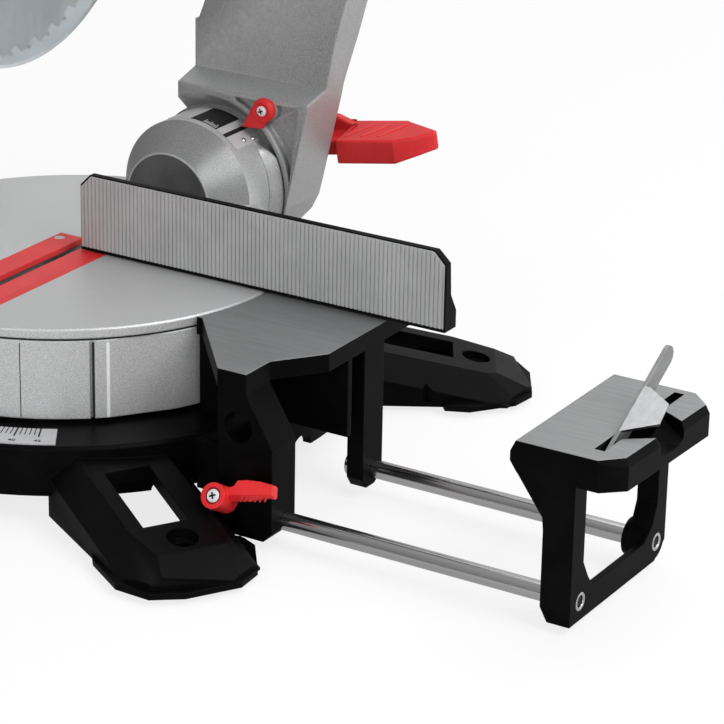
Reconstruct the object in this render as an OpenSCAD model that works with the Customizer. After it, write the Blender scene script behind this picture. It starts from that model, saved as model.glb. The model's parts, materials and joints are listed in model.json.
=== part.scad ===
// Sliding compound mitre saw with pull-out work supports, millimetres.
// X runs along the fence to the right, Y to the back and Z up. The origin lies on the bench under the
// turntable's axis, and the fence's face is the plane Y = 0.

$fn = 64;

/* [Table] */
// Height of the table top above the bench
table_z = 116; // [112:1:124]
// Radius of the turntable
table_r = 156; // [150:1:160]
// Thickness of the turntable's top plate
table_t = 12; // [10:1:14]
// Height of the plain band round the table's edge
rim_h = 6.5; // [4:0.5:10]
// Reach of the turntable's nose in front of its axis
nose_reach = 330; // [325:1:345]
// Width of the nose
nose_w = 72; // [70:1:80]
// Depth of the nose below the table top
nose_depth = 54; // [50:1:56]
// Thickness of the kerf inserts
insert_t = 4; // [3:0.5:5]
// Radius of the turntable's pivot bolt
pivot_r = 10; // [8:0.5:12]

/* [Base] */
// Width of the base ring's ledge round the turntable
ledge_w = 39; // [37:1:42]
// Height of the ledge that carries the mitre scale
base_top = 52; // [50:1:53]
// Thickness of the base ring's wall
base_wall = 6; // [5:0.5:8]
// Gap between the bench and the base ring
base_lift = 19; // [14:1:22]
// Distance of the bench bolts from the axis, left and right
bench_x = 216; // [210:1:222]
// Distance of the bench bolts from the axis, front and back
bench_y = 180; // [176:1:186]
// Radius of the bench bolt holes
bench_hole_r = 4.5; // [3:0.25:6]
// Width of a leg at its lower edge
leg_w = 81; // [76:1:86]
// Extra width of each leg on the side of its wing
leg_side = 5; // [0:1:7]
// Wall thickness of the legs
leg_wall = 5; // [4:0.5:7]
// Thickness of the rubber feet
foot_t = 4; // [3:0.5:6]

/* [Wings] */
// Distance of a wing's outer face from the axis
wing_x = 250; // [248:1:254]
// Distance of the front block's face in front of the fence
block_y = 128; // [126:1:130]
// Depth of the front block
block_d = 27; // [25:1:30]
// Radius of the round hole in the front block
block_hole_r = 10; // [8:0.5:12]

/* [Supports] */
// Radius of the support rods
rod_r = 6; // [5:0.25:7]
// Distance between the two rods of a support
rod_spacing = 100; // [96:1:102]
// Height of the rods above the bench
rod_z = 18; // [16:1:20]
// Distance that a support slides in
rod_travel = 150; // [120:1:155]
// Distance of the end frame's outer face from the axis
frame_x = 452; // [450:1:470]
// Thickness of the end frame's legs
frame_t = 20; // [18:1:22]
// Thickness of the flip stop's sheet
stop_t = 2.5; // [2:0.25:3]
// Angle of the raised flip stop above the table
stop_rise = 30; // [25:1:35]

/* [Fence] */
// Height of the fence above the table
fence_h = 54; // [48:1:60]
// Distance of the fence's outer end from the axis
fence_x = 292; // [285:1:300]
// Thickness of the fence at its foot
fence_t = 14; // [12:0.5:16]
// Distance of the right fence's inner end from the axis
right_gap = 10; // [9:0.5:14]
// Distance of the left fence's inner end from the axis, at its foot
left_gap = 62; // [55:1:70]

/* [Bevel] */
// Radius of the bevel drum
drum_r = 53; // [50:1:55]
// Radius of the disc on the drum's front
disc_r = 35; // [28:1:38]
// Distance of the drum's front behind the fence
drum_y = 116; // [112:1:120]
// Length of the drum's cone
cone_l = 24; // [20:1:28]
// Distance of the drum's back behind the fence
drum_back = 180; // [178:1:182]
// Thickness of the bevel arm in front of the lever
arm_t = 46; // [42:1:48]
// Radius of the bevel pivot bolt
bevel_bolt_r = 10; // [8:0.5:12]
// Length of the bevel lever from the pivot
lever_l = 149; // [146:1:156]

/* [Slide] */
// Radius of the slide rails
rail_r = 12.5; // [11:0.25:14]
// Distance between the slide rails
rail_gap = 52; // [48:1:56]
// Distance of the rails' middle to the right of the blade
rail_x = 60; // [58:1:62]
// Height of the rails above the table
rail_rise = 258; // [254:1:264]
// Distance that the head slides forward
slide_travel = 200; // [150:1:210]

/* [Head] */
// Height of the chop hinge above the table
hinge_rise = 208; // [206:1:210]
// Distance of the chop hinge behind the fence
hinge_y = 150; // [148:1:151]
// Distance from the chop hinge to the arbor
arm_l = 215; // [210:1:216]
// Angle of the raised head above level
raise = 18; // [17:0.5:19]
// Radius of the saw blade
blade_r = 127; // [120:0.5:127.5]
// Thickness of the blade's plate
blade_t = 2.4; // [1.8:0.1:3]
// Number of teeth on the blade
teeth = 40; // [24:4:60]
// Radius of the arbor
arbor_r = 10; // [8:0.5:11]
// Radius of the motor housing
motor_r = 50; // [46:1:54]
// Distance from the arbor to the motor's axis
belt_l = 92; // [90:1:98]
// Outer radius of the dust spout
spout_r = 18; // [16:0.5:20]

/* [Fits] */
// Radial clearance of a shaft in its hole
fit = 0.05; // [0.02:0.01:0.09]
// Gap between faces that move past each other
gap = 0.4; // [0.3:0.1:0.6]

/* [Hidden] */
black = "#1d1e21";
silver = "#a3a5a8";
red = "#c9252c";
steel = "#c4c7ca";
grey = "#55585c";
rubber = "#26262a";
smoke = "#6d7a80";

// Turntable and base
base_r = table_r + ledge_w;
base_floor_t = 8;
base_floor_z = base_top - base_floor_t;
skirt_z = base_top + 3;
skirt_t = 8;
hub_r = 40;
nose_z = table_z - nose_depth;
trough_z = table_z - 32;
trough = [-12, 20];
recess = [-22, 30];
kerf = [-3, 8];
kerf_front = -nose_reach + 20;
kerf_back = 20;
pivot_head_z = trough_z - 14;
pivot_boss_h = 20;
bolt_r = 3;

// Rod positions: the rear rod lies 12 mm in front of the fence's face
rear_rod_y = -12;
front_rod_y = rear_rod_y - rod_spacing;
collar_r = rod_r + 2;
tunnel_r = collar_r + 2;

// Wing sizes
wing_gap = 2.5;
wing_t = 12;
block_x = [206, 246];
block_top_x = 227;
block_hole = [221, table_z - 36];
clamp = [216.7, -149, 41.5];
clamp_lean = 30;
clamp_r = 3;
clamp_head_r = 3.9;
lever_t = 18;
lever_r = 8.3;
paddle_w = [-11, -4];
stud_l = 37;

// End frame sizes
frame_front = front_rod_y - 13.5;
frame_back = rear_rod_y + 11;
frame_foot = rod_z - 12;
block_h = 20;
rear_leg_t = frame_t - 6;
sill_t = 4;
slot = [frame_x + 3.5, frame_x + 10];
stop_pivot = [front_rod_y + 17, table_z - 6];
stop_pin_r = 2.5;
stop_x = frame_x + 5;

// Bevel arm and lever
cup_d = 12;
cup_r = drum_r + 11.5;
arm_front = drum_back + gap - cup_d;
arm_back = arm_front + arm_t;
pin_back = arm_back + 54;
arm_x = [-27, 90];
arm_step = 112;
lever_slope = 10;
collar_ring = cup_r + 3.5;
pocket_d = 6;
pointer_at = [47.7, 62.5];
pointer_r = 8.6;

// Slide
rails = [rail_x - rail_gap / 2, rail_x + rail_gap / 2];
bush_r = rail_r + 4.5;
rail_z = table_z + rail_rise;
house = [arm_front + 6.6, arm_front + 86.6];
bracket_y = [hinge_y - 18, house[0] - 2];
bracket_x = [rail_x - 54, rail_x + 54];
rail_back = house[1] + slide_travel + 26;
hinge_z = table_z + hinge_rise;
hinge_r = 9;
knuckle_r = 20;
knuckle_x = [rail_x - 30, rail_x + 30];

// Head: the arbor and the motor's axis in Y, Z
arbor_y = hinge_y - arm_l * cos(raise);
arbor_z = hinge_z + arm_l * sin(raise);
motor_y = arbor_y + belt_l * cos(60);
motor_z = arbor_z + belt_l * sin(60);
guard_in = blade_r + 3;
guard_wall = 2;
guard_out = guard_in + guard_wall;
cover_in = guard_out + 1.5;
cover_wall = 4;
cover_out = cover_in + cover_wall;
guard_x = 9.5;
cover_x = 11;
case_x = [14, 58];
lid_x = 66;
case_r = 38;
pulley_x = [32, 46];
arbor_pulley_r = 26;
motor_pulley_r = 13;
flange_r = 30;
flange_t = 5.5;
blade_bore_r = 15;
bearing_r = arbor_r + 7.5;
shaft_r = 6;
guard_boss_r = 22;
motor_x = [lid_x, 160, 192];
motor_wall = 4;
stator_x = [motor_x[0] + 26, motor_x[0] + 84];
armature_r = motor_r - 23;
cover_span = [30, 225];
guard_span = [-140, 35];

// Handle: its middle and its tilt in the Y, Z plane
grip_reach = cover_out + 38.3;
grip_up = 40.85;
grip_y = arbor_y - grip_reach * cos(grip_up);
grip_z = arbor_z + grip_reach * sin(grip_up);
grip_tilt = 16.1;
grip_l = 94;
grip_r = 32;
grip_hole_r = 16;
grip_w = 30;

// Extrusions along each axis, and round bars between two stations
module along_x(x0, x1) translate([x0, 0, 0]) rotate([90, 0, 90]) linear_extrude(x1 - x0) children();
module along_y(y0, y1) translate([0, y1, 0]) rotate([90, 0, 0]) linear_extrude(y1 - y0) children();
module along_z(z0, z1) translate([0, 0, z0]) linear_extrude(z1 - z0) children();
module bar_x(y, z, x0, x1, r) translate([x0, y, z]) rotate([0, 90, 0]) cylinder(h = x1 - x0, r = r);
module bar_y(x, z, y0, y1, r) translate([x, y0, z]) rotate([-90, 0, 0]) cylinder(h = y1 - y0, r = r);
module bar_z(x, y, z0, z1, r) translate([x, y, z0]) cylinder(h = z1 - z0, r = r);
module both_sides() {
  children();
  mirror([1, 0, 0]) children();
}
module all_corners() {
  both_sides() children();
  mirror([0, 1, 0]) both_sides() children();
}

// Plan direction a degrees from the front towards the right, and a sector between two such directions
function polar(r, a) = [r * sin(a), -r * cos(a)];
module plan_sector(r, a0, a1) polygon(concat([[0, 0]], [for (i = [0 : 8]) polar(r, a0 + (a1 - a0) * i / 8)]));

// Head direction a degrees up from the front, and a sector of the head round the arbor
function head_dir(r, a) = [-r * cos(a), r * sin(a)];
module head_sector(r, a0, a1)
  polygon(concat([[0, 0]], [for (i = [0 : 14]) head_dir(r, a0 + (a1 - a0) * i / 14)]));
module at_arbor() translate([0, arbor_y, arbor_z]) children();
module at_motor() translate([0, motor_y, motor_z]) children();

// Outline round two circles at [0, 0] and [l, 0] with their common tangents
function arc(x, r, a0, a1, n = 20) =
  [for (i = [0 : n]) let (a = a0 + (a1 - a0) * i / n) [x + r * cos(a), r * sin(a)]];
module two_circles(l, r0, r1) {
  a = acos((r0 - r1) / l);
  polygon(concat(arc(0, r0, a, 360 - a), arc(l, r1, -a, a)));
}

// The drive's outline in Y, Z, from the arbor up to the motor
module drive_outline(r0, r1) rotate(60) two_circles(belt_l, r0, r1);

module at_clamp(w) translate(clamp) rotate([90 - clamp_lean, 0, 0]) translate([0, 0, w]) children();
module rod_tunnels(r, x0, x1) for (y = [front_rod_y, rear_rod_y]) bar_x(y, rod_z, x0, x1, r);

// Places of the bolts that hold the wings on the ledge
wing_bolt_ring = base_r - base_wall - 2 * bolt_r - wing_gap;
wing_bolt_at = [for (a = [-7.6, 7.6]) [wing_bolt_ring * cos(a), wing_bolt_ring * sin(a)]];

// Base casting: the round pan with its ledge, and four legs that splay out from it
module base_casting() color(black) difference() {
  union() {
    rotate_extrude() polygon([[pivot_r + fit, base_floor_z - pivot_boss_h], [30, base_floor_z - pivot_boss_h],
      [30, base_floor_z], [base_r - base_wall, base_floor_z], [base_r - base_wall, base_lift],
      [base_r, base_lift], [base_r, base_top - 2], [base_r - 2, base_top], [pivot_r + fit, base_top]]);
    all_corners() leg();
  }
  both_sides() {
    rod_tunnels(tunnel_r, 40, block_x[1]);
    for (p = wing_bolt_at) bar_z(p[0], p[1], base_floor_z - 1, base_top + 1, bolt_r);
  }
}

// A leg's block in its own frame: origin at the bench bolt, X outwards along the leg
leg_dir = 31;
leg_root = -97;
leg_root_z = 45;
leg_fall = 11.4;
leg_end = 39;
module leg_facet(x, y, a) translate([x, y, foot_t + 8]) rotate([0, 0, a]) rotate([0, 35, 0])
  translate([-100, -70, 0]) cube([200, 140, 60]);
module leg_block(i) difference() {
  intersection() {
    translate([leg_root, -3.5, leg_root_z]) rotate([0, leg_fall, 0]) along_x(-60, 170)
      polygon([[-leg_w / 2 + i, -70], [leg_w / 2 + leg_side - i, -70], [leg_w / 2 + leg_side - i, -15.5],
        [leg_w / 2 + leg_side - 14.5 - i / 2, -i], [-leg_w / 2 + 14.5 + i / 2, -i], [-leg_w / 2 + i, -15.5]]);
    translate([0, -3.5, 0]) along_z(foot_t, 90)
      polygon([[-150, -leg_w / 2], [7 - i, -leg_w / 2], [26 - i, -30], [leg_end - i, 20], [21 - i, leg_w / 2 + leg_side],
        [-150, leg_w / 2 + leg_side]]);
    along_y(-60, 60) polygon([[-150, foot_t], [leg_end - i, foot_t], [leg_end - i, foot_t + 6],
      [leg_end - 32 - i, foot_t + 22], [-150, 90]]);
  }
  leg_facet(7 - i, -leg_w / 2 - 3.5 + i, -61);
  leg_facet(leg_end - i, 16.5 - i, 41);
}
module leg_lip() along_z(foot_t, foot_t + 4) polygon([[-40, -43], [-28, -47.4], [9, -48.5], [31, -36.5],
  [39, -16],
  [39, 21], [27, 35 + leg_side / 2], [-5, 46 + leg_side], [-22, 44 + leg_side]]);
module leg() difference() {
  translate([bench_x, -bench_y, 0]) rotate([0, 0, -leg_dir]) difference() {
    union() {
      difference() {
        leg_block(0);
        translate([-14, 0, -1]) leg_block(leg_wall);
      }
      leg_lip();
      intersection() {
        leg_block(0);
        cylinder(h = 60, r = 14);
      }
    }
    translate([-76, -19, -1]) cube([60, 30, 90]);
    bar_z(0, 0, 0, 60, bench_hole_r);
    bar_z(0, 0, foot_t + 16, 60, 2.2 * bench_hole_r);
  }
  bar_z(0, 0, 0, 90, base_r - base_wall / 2);
  translate([block_x[0] - gap, -block_y - gap, frame_foot + 2 - gap]) cube([60, block_d + 40, 90]);
}

module wing_bolts() color(steel) both_sides() for (p = wing_bolt_at) {
  bar_z(p[0], p[1], base_floor_z - 5, base_floor_z, 2 * bolt_r);
  bar_z(p[0], p[1], base_floor_z - 1, base_top + 14, bolt_r);
}

module rubber_feet() color(rubber) all_corners() difference() {
  bar_z(bench_x, -bench_y, 0, foot_t, 16);
  bar_z(bench_x, -bench_y, -1, foot_t + 1, bench_hole_r);
}

// Right wing: table plate, front block, apron, web on the ledge and rear bracket
module wing() difference() {
  union() {
    along_z(table_z - wing_t, table_z) polygon([[120, -62], [150, -62], [block_x[0], -block_y],
      [block_top_x, -block_y], [block_top_x, block_d - block_y], [wing_x, -70], [wing_x, 42], [120, 42]]);
    along_y(-block_y, block_d - block_y) polygon([[block_x[0], frame_foot + 2], [block_x[1] - 6, frame_foot
      + 2],
      [block_x[1], frame_foot + 8], [block_x[1], table_z - 45], [block_top_x, table_z - 13],
      [block_top_x, table_z], [block_x[0], table_z]]);
    at_clamp(-lever_t - gap - 14) cylinder(h = 14, r = lever_r - 1.3);
    translate([base_r - 22, block_d - block_y - 1, base_lift])
      cube([block_x[0] - base_r + 23, 6, base_top - base_lift]);
    translate([165, -47, base_top]) cube([wing_x - 165, 5, table_z - base_top - 1]);
    translate([120, -60, base_top]) cube([80, 98, table_z - base_top - 1]);
    along_x(wing_x - 12, wing_x) polygon([[-27, table_z - 1], [-27, rod_z - 3], [-22, rod_z - 10],
      [-12, rod_z - 10], [-3, rod_z - 4], [-3, table_z - 1]]);
  }
  bar_z(0, 0, 0, table_z + 9, table_r + wing_gap);
  bar_y(block_hole[0], block_hole[1], -block_y - 1, block_d - block_y + 1, block_hole_r);
  at_clamp(-stud_l) cylinder(h = stud_l, r = clamp_r);
  rod_tunnels(rod_r + fit, block_x[0] - 20, wing_x + 1);
  for (p = wing_bolt_at) bar_z(p[0], p[1], base_top - 1, base_top + 14, bolt_r);
  for (p = fence_bolt_at) bar_z(p[0], p[1], table_z - 10, table_z + 1, bolt_r);
}
fence_bolt_at = [for (x = [table_r + 30, wing_x - 24]) [x, fence_t + 13]];
module right_wing() color(black) wing();
module left_wing() color(black) mirror([1, 0, 0]) wing();

// Mitre scale on the ledge; its zero lies beside the nose
scale_r = [table_r + 11, base_r - 4];
pointer_a = -15;
module mitre_scale() color(silver) along_z(base_top, base_top + 1) intersection() {
  difference() {
    circle(scale_r[1]);
    circle(scale_r[0]);
  }
  plan_sector(base_r * 1.2, pointer_a - 48.5, pointer_a + 48.5);
}

// Fence: a ribbed face in the plane Y = 0 on a foot that is bolted to the wing
module fence_wall(foot_x, top_x) intersection() {
  along_x(0, fence_x) polygon([[0, table_z + gap], [fence_t, table_z + gap], [fence_t, table_z + 12],
    [fence_t / 2, table_z + 24], [fence_t / 2 - 2, table_z + fence_h], [0, table_z + fence_h]]);
  along_y(-1, fence_t + 1) polygon([[foot_x, table_z], [fence_x, table_z], [fence_x, table_z + fence_h - 8],
    [fence_x - 8, table_z + fence_h], [top_x + 8, table_z + fence_h], [top_x, table_z + fence_h - 8]]);
  along_z(table_z, table_z + fence_h) polygon([[foot_x, 0], [fence_x, 0], [fence_x, fence_t],
    [foot_x + 1.2 * fence_t, fence_t]]);
}
module fence(foot_x, top_x) difference() {
  union() {
    fence_wall(foot_x, top_x);
    translate([table_r + 14, fence_t / 2, table_z]) cube([wing_x - table_r - 20, fence_t / 2 + 24, 7]);
  }
  for (p = fence_bolt_at) bar_z(p[0], p[1], table_z - 1, table_z + 20, bolt_r);
}
module right_fence() color(black) fence(right_gap, right_gap);
module left_fence() color(black) mirror([1, 0, 0]) fence(left_gap, left_gap + fence_h);
module fence_bolts() color(steel) both_sides() for (p = fence_bolt_at) {
  bar_z(p[0], p[1], table_z + 7, table_z + 12, 2 * bolt_r);
  bar_z(p[0], p[1], table_z - 10, table_z + 8, bolt_r);
}

// Studs that the clamp levers turn on
module clamp_studs() color(steel) both_sides() {
  at_clamp(-stud_l) cylinder(h = stud_l - 2, r = clamp_r);
  at_clamp(-3.5) cylinder(h = 3, r = clamp_head_r);
}

// Turntable: table, skirt, hub, nose and the bevel drum on its neck
groove_a = 41.6;
facet_a = [45.4, 61];
module turntable_blank() {
  rotate_extrude() polygon([[pivot_r + fit, base_top + gap], [hub_r, base_top + gap], [hub_r, table_z -
    table_t],
    [table_r - skirt_t, table_z - table_t], [table_r - skirt_t, skirt_z], [table_r, skirt_z],
    [table_r, table_z - rim_h - 1.5], [table_r - 1.2, table_z - rim_h - 1.5], [table_r - 1.2, table_z -
      rim_h],
    [table_r, table_z - rim_h], [table_r, table_z - 1], [table_r - 1, table_z], [pivot_r + fit, table_z]]);
  difference() {
    along_z(nose_z, table_z) polygon([[-nose_w / 2, -table_r + 12], [nose_w / 2, -table_r + 12],
      [nose_w / 2, -nose_reach + 14], [nose_w / 2 - 14, -nose_reach], [-nose_w / 2 + 14, -nose_reach],
      [-nose_w / 2, -nose_reach + 14]]);
    translate([-nose_w / 2 + 6, -nose_reach + 26, nose_z - 1])
      cube([nose_w - 12, nose_reach - table_r - 26, 15]);
  }
  translate([-46, 105, nose_z]) cube([92, arm_front - gap - 105, nose_depth]);
  translate([0, 0, table_z]) rotate([-90, 0, 0]) rotate_extrude() polygon([[0, drum_y], [disc_r - 1.5,
    drum_y],
    [disc_r, drum_y + 1.5], [drum_r, drum_y + cone_l], [drum_r, drum_back], [0, drum_back]]);
}
module turntable() color(silver) difference() {
  turntable_blank();
  bar_z(0, 0, pivot_head_z, table_z + 1, pivot_r + 8);
  translate([trough[0], kerf_front + 6, trough_z])
    cube([trough[1] - trough[0], kerf_back - kerf_front - 12, 40]);
  translate([recess[0], kerf_front, table_z - insert_t])
    cube([recess[1] - recess[0], kerf_back - kerf_front, insert_t + 1]);
  for (p = insert_screw_at) bar_z(p[0], p[1], table_z - insert_t - 6, table_z, 2);
  both_sides() {
    rotate([0, 0, groove_a]) translate([-1.5, -table_r - 1, skirt_z - 1])
      cube([3, 3, table_z - rim_h - skirt_z - 1]);
    rotate([0, 0, (facet_a[0] + facet_a[1]) / 2]) translate([-30, -table_r - 9, skirt_z - 1])
      cube([60, 9 + table_r * (1 - cos((facet_a[1] - facet_a[0]) / 2)), table_z - rim_h - skirt_z]);
  }
  bar_y(0, table_z, drum_y + 11, drum_back + 1, bevel_bolt_r);
  bar_y(0, knob_z, -nose_reach - 1, -nose_reach + 20, stud_r + fit);
}

module insert_plate(x0, x1) difference() {
  translate([x0, kerf_front + 0.2, table_z - insert_t]) cube([x1 - x0, kerf_back - kerf_front - 0.4,
    insert_t]);
  for (p = insert_screw_at) {
    bar_z(p[0], p[1], table_z - insert_t - 1, table_z + 1, 2);
    bar_z(p[0], p[1], table_z - 2, table_z + 1, 4);
  }
}
module left_insert() color(red) insert_plate(recess[0] + 0.2, kerf[0]);
module right_insert() color(red) insert_plate(kerf[1], recess[1] - 0.2);
insert_screw_at = [for (x = [(recess[0] + trough[0]) / 2, (recess[1] + trough[1]) / 2],
  y = [kerf_front + 14, (kerf_front + kerf_back) / 2, kerf_back - 8]) [x, y]];
module insert_screws() color(steel) for (p = insert_screw_at) {
  bar_z(p[0], p[1], table_z - 2, table_z - 0.3, 4);
  bar_z(p[0], p[1], table_z - insert_t - 6, table_z - 1, 2);
}

module mitre_pointer() color(red) along_z(skirt_z - 1.4, skirt_z) rotate(pointer_a)
  polygon([[-5, 3 - table_r], [5, 3 - table_r], [5, 5 - scale_r[0]], [0, -5 - scale_r[0]],
    [-5, 5 - scale_r[0]]]);

module pivot_bolt() color(steel) {
  translate([0, 0, pivot_head_z]) cylinder(h = 8, r = pivot_r + 6, $fn = 6);
  bar_z(0, 0, base_floor_z - pivot_boss_h - 12, pivot_head_z + 1, pivot_r);
  translate([0, 0, base_floor_z - pivot_boss_h - gap - 9]) cylinder(h = 9, r = pivot_r + 6, $fn = 6);
}

// Bevel scale round the drum, from left of the top to the right
module bevel_scale() color(grey) translate([0, 0, table_z]) along_y(drum_y + cone_l + 4.5, drum_back - 5.5)
  intersection() {
    difference() {
      circle(drum_r + 0.6);
      circle(drum_r + fit);
    }
    polygon([[0, 0], [-34, 88], [30, 95], [70, 66]]);
  }
module bevel_bolt() color(steel) {
  bar_y(0, table_z, drum_y + 11, pin_back, bevel_bolt_r);
  translate([0, pin_back - 6, table_z]) rotate([-90, 0, 0]) cylinder(h = 8, r = bevel_bolt_r + 7, $fn = 6);
}

// Mitre lock: a fluted knob on a stud in the end of the nose
knob_z = table_z - 30;
knob_r = 21;
stud_r = 5;
module mitre_knob() color(black) difference() {
  union() {
    bar_y(0, knob_z, -nose_reach - 42, -nose_reach - 14, knob_r);
    bar_y(0, knob_z, -nose_reach - 15, -nose_reach - 2, knob_r * 0.6);
  }
  for (i = [0 : 5]) translate([0, 0, knob_z]) rotate([0, 60 * i, 0])
    bar_y(knob_r + 5, 0, -nose_reach - 43, -nose_reach - 13, 8);
  bar_y(0, knob_z, -nose_reach - 30, -nose_reach - 1, stud_r);
}
module mitre_stud() color(steel) bar_y(0, knob_z, -nose_reach - 30, -nose_reach + 18, stud_r);

// Bevel arm: hub and leaning lower arm, upper arm set back, and the housing of the rails
module arm_lower() {
  circle(drum_r + 2);
  polygon([[arm_x[0], 0], [arm_x[0], arm_step], [arm_x[1], arm_step], [81.5, 67], [67, 3], [64, -9], [58,
    -21],
    [48, -32], [34, -43], [0, -drum_r - 2]]);
}
module arm_pocket() difference() {
  polygon([[22, 50], [22, 67], [74, 67], [67.2, 8]]);
  circle(collar_ring);
  translate(pointer_at) circle(pointer_r + 0.5);
}
module arm_upper() polygon([[arm_x[0], arm_step - 52], [arm_x[0], arm_step - 7], [bracket_x[0], rail_rise -
  68],
  [bracket_x[0], rail_rise - 20], [bracket_x[1], rail_rise - 20], [bracket_x[1], rail_rise - 58],
  [arm_x[1], arm_step], [arm_x[1] - 16, arm_step - 52]]);
module bevel_arm() color(silver) difference() {
  union() {
    difference() {
      translate([0, 0, table_z]) along_y(arm_front, arm_back) arm_lower();
      along_x(arm_x[0] - 1, arm_x[1] + 1) polygon([[arm_front - 1, table_z + 70.2],
        [arm_front + 22, table_z + 77], [arm_front + 22, table_z + arm_step + 1],
        [arm_front - 1, table_z + arm_step + 1]]);
      translate([0, 0, table_z]) rotate([-90, 0, 0]) rotate_extrude() polygon([[0, arm_front - 1],
        [cup_r + 1, arm_front - 1], [drum_r + 1.5, drum_back + gap], [0, drum_back + gap]]);
      translate([0, 0, table_z]) along_y(arm_front - 1, arm_front + pocket_d) arm_pocket();
    }
    translate([0, 0, table_z]) along_y(arm_front + 22, arm_back + 8) arm_upper();
    along_y(house[0], house[1]) polygon([[bracket_x[0], rail_z - 33], [bracket_x[1], rail_z - 33],
      [bracket_x[1], rail_z + 20], [bracket_x[1] - 14, rail_z + 34], [bracket_x[0] + 14, rail_z + 34],
      [bracket_x[0], rail_z + 20]]);
  }
  bar_y(0, table_z, arm_front - 1, arm_back + 1, bevel_bolt_r + fit);
  for (x = rails) bar_y(x, rail_z, house[0] - 1, house[1] + 1, bush_r);
  bar_x(lock_y, rail_z, rails[1], bracket_x[1] + 1, lock_r + fit);
}

// Red pointer of the bevel scale, screwed on the arm's front
module bevel_pointer() color(red) translate([0, 0, table_z]) along_y(arm_front - 5, arm_front) {
  translate(pointer_at) circle(pointer_r);
  polygon([[pointer_at[0] - 0.8 * pointer_r, pointer_at[1] + 0.6 * pointer_r], [0.57 * drum_r, 0.9 * drum_r],
    [0.88 * drum_r, 0.92 * drum_r], [pointer_at[0] + 0.97 * pointer_r, pointer_at[1] - 0.24 * pointer_r]]);
}
module rail_bushes() color(grey) for (x = rails, y = [house[0], house[1] - 24]) difference() {
  bar_y(x, rail_z, y, y + 24, bush_r);
  bar_y(x, rail_z, y - 1, y + 25, rail_r + fit);
}

// Bevel lever: a hub on the pivot bolt and a broad grip that rises to the right
lever_y = [arm_back + 12.6, arm_back + 45];
module lever_grip() intersection() {
  along_x(grip_start, lever_l) polygon([[lever_y[0], -1.6], [lever_y[1], -1.6], [lever_y[1], 23],
    [lever_y[0], 15.5]]);
  along_z(-10, 30) polygon([[grip_start, lever_y[0]], [lever_l - 28, lever_y[0]], [lever_l - 12, lever_y[0]
    + 6],
    [lever_l, lever_y[0] + 14], [lever_l, lever_y[0] + 17], [lever_l - 29, lever_y[1] - 2],
    [lever_l - 32, lever_y[1]], [grip_start, lever_y[1]]]);
  along_y(lever_y[0] - 1, lever_y[1] + 1) polygon([[grip_start, -2], [lever_l - 29, -1.6], [lever_l + 1, 6.5],
    [lever_l + 1, 30], [grip_start, 30]]);
}
grip_start = 72;
module lever_neck() {
  along_x(8, grip_start + 1) polygon([[lever_y[0] + 7, 3], [lever_y[1] - 4, 3], [lever_y[1] - 4, 18],
    [lever_y[0] + 7, 14]]);
  along_y(lever_y[1] - 10, lever_y[1] - 2) polygon([[8, 5], [grip_start + 5, 5], [grip_start + 5, 21],
    [grip_start - 12, 29], [8, 20]]);
}
module bevel_lever() color(red) difference() {
  union() {
    translate([0, 0, table_z]) rotate([0, -lever_slope, 0]) {
      lever_grip();
      lever_neck();
    }
    bar_y(0, table_z, arm_back + gap, lever_y[1] + 2, bevel_bolt_r + 12);
  }
  bar_y(0, table_z, arm_back, pin_back, bevel_bolt_r + fit);
}

lock_r = 4;
lock_y = (house[0] + house[1]) / 2;
module rail_lock_knob() color(black) {
  bar_x(lock_y, rail_z, rails[1] + rail_r + 1, bracket_x[1] + 8, lock_r);
  difference() {
    bar_x(lock_y, rail_z, bracket_x[1] + 1, bracket_x[1] + 26, 16);
    for (i = [0 : 5]) translate([0, lock_y, rail_z]) rotate([60 * i, 0, 0])
      bar_x(19, 0, bracket_x[1] + 6, bracket_x[1] + 27, 6);
  }
}

// Slide: two rails between the hinge bracket and the rear cap
module slide_rails() color(steel) for (x = rails) difference() {
  bar_y(x, rail_z, bracket_y[0] + 6, rail_back, rail_r);
  bar_y(x, rail_z, bracket_y[0] + 5, rail_back + 1, rail_r - 3);
}
module rail_end_cap() color(black) difference() {
  along_y(rail_back - 12, rail_back + 6) polygon([[bracket_x[0] + 4, rail_z - 22],
    [bracket_x[1] - 4, rail_z - 22], [bracket_x[1] - 4, rail_z + 14], [bracket_x[1] - 12, rail_z + 22],
    [bracket_x[0] + 12, rail_z + 22], [bracket_x[0] + 4, rail_z + 14]]);
  for (x = rails) bar_y(x, rail_z, rail_back - 13, rail_back, rail_r);
}
module hinge_bracket() color(silver) difference() {
  along_y(bracket_y[0], bracket_y[1]) polygon([[bracket_x[0], hinge_z - 12], [bracket_x[0] + 10, hinge_z -
    24],
    [bracket_x[1] - 10, hinge_z - 24], [bracket_x[1], hinge_z - 12], [bracket_x[1], rail_z + 18],
    [bracket_x[1] - 12, rail_z + 30], [bracket_x[0] + 12, rail_z + 30], [bracket_x[0], rail_z + 18]]);
  translate([knuckle_x[0], bracket_y[0] - 1, hinge_z - 25])
    cube([knuckle_x[1] - knuckle_x[0], hinge_y - bracket_y[0] + 1, 25 + knuckle_r + 11]);
  bar_x(hinge_y, hinge_z, knuckle_x[0], knuckle_x[1], knuckle_r + 1);
  translate([knuckle_x[0], hinge_y - 1, hinge_z - 25]) cube([knuckle_x[1] - knuckle_x[0], knuckle_r + 2, 25]);
  bar_x(hinge_y, hinge_z, bracket_x[0] - 1, bracket_x[1] + 1, hinge_r);
  for (x = rails) bar_y(x, rail_z, bracket_y[0] + 6, bracket_y[1] + 1, rail_r);
}
module hinge_pin() color(steel) bar_x(hinge_y, hinge_z, bracket_x[0] - 3, bracket_x[1] + 3, hinge_r);

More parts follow.
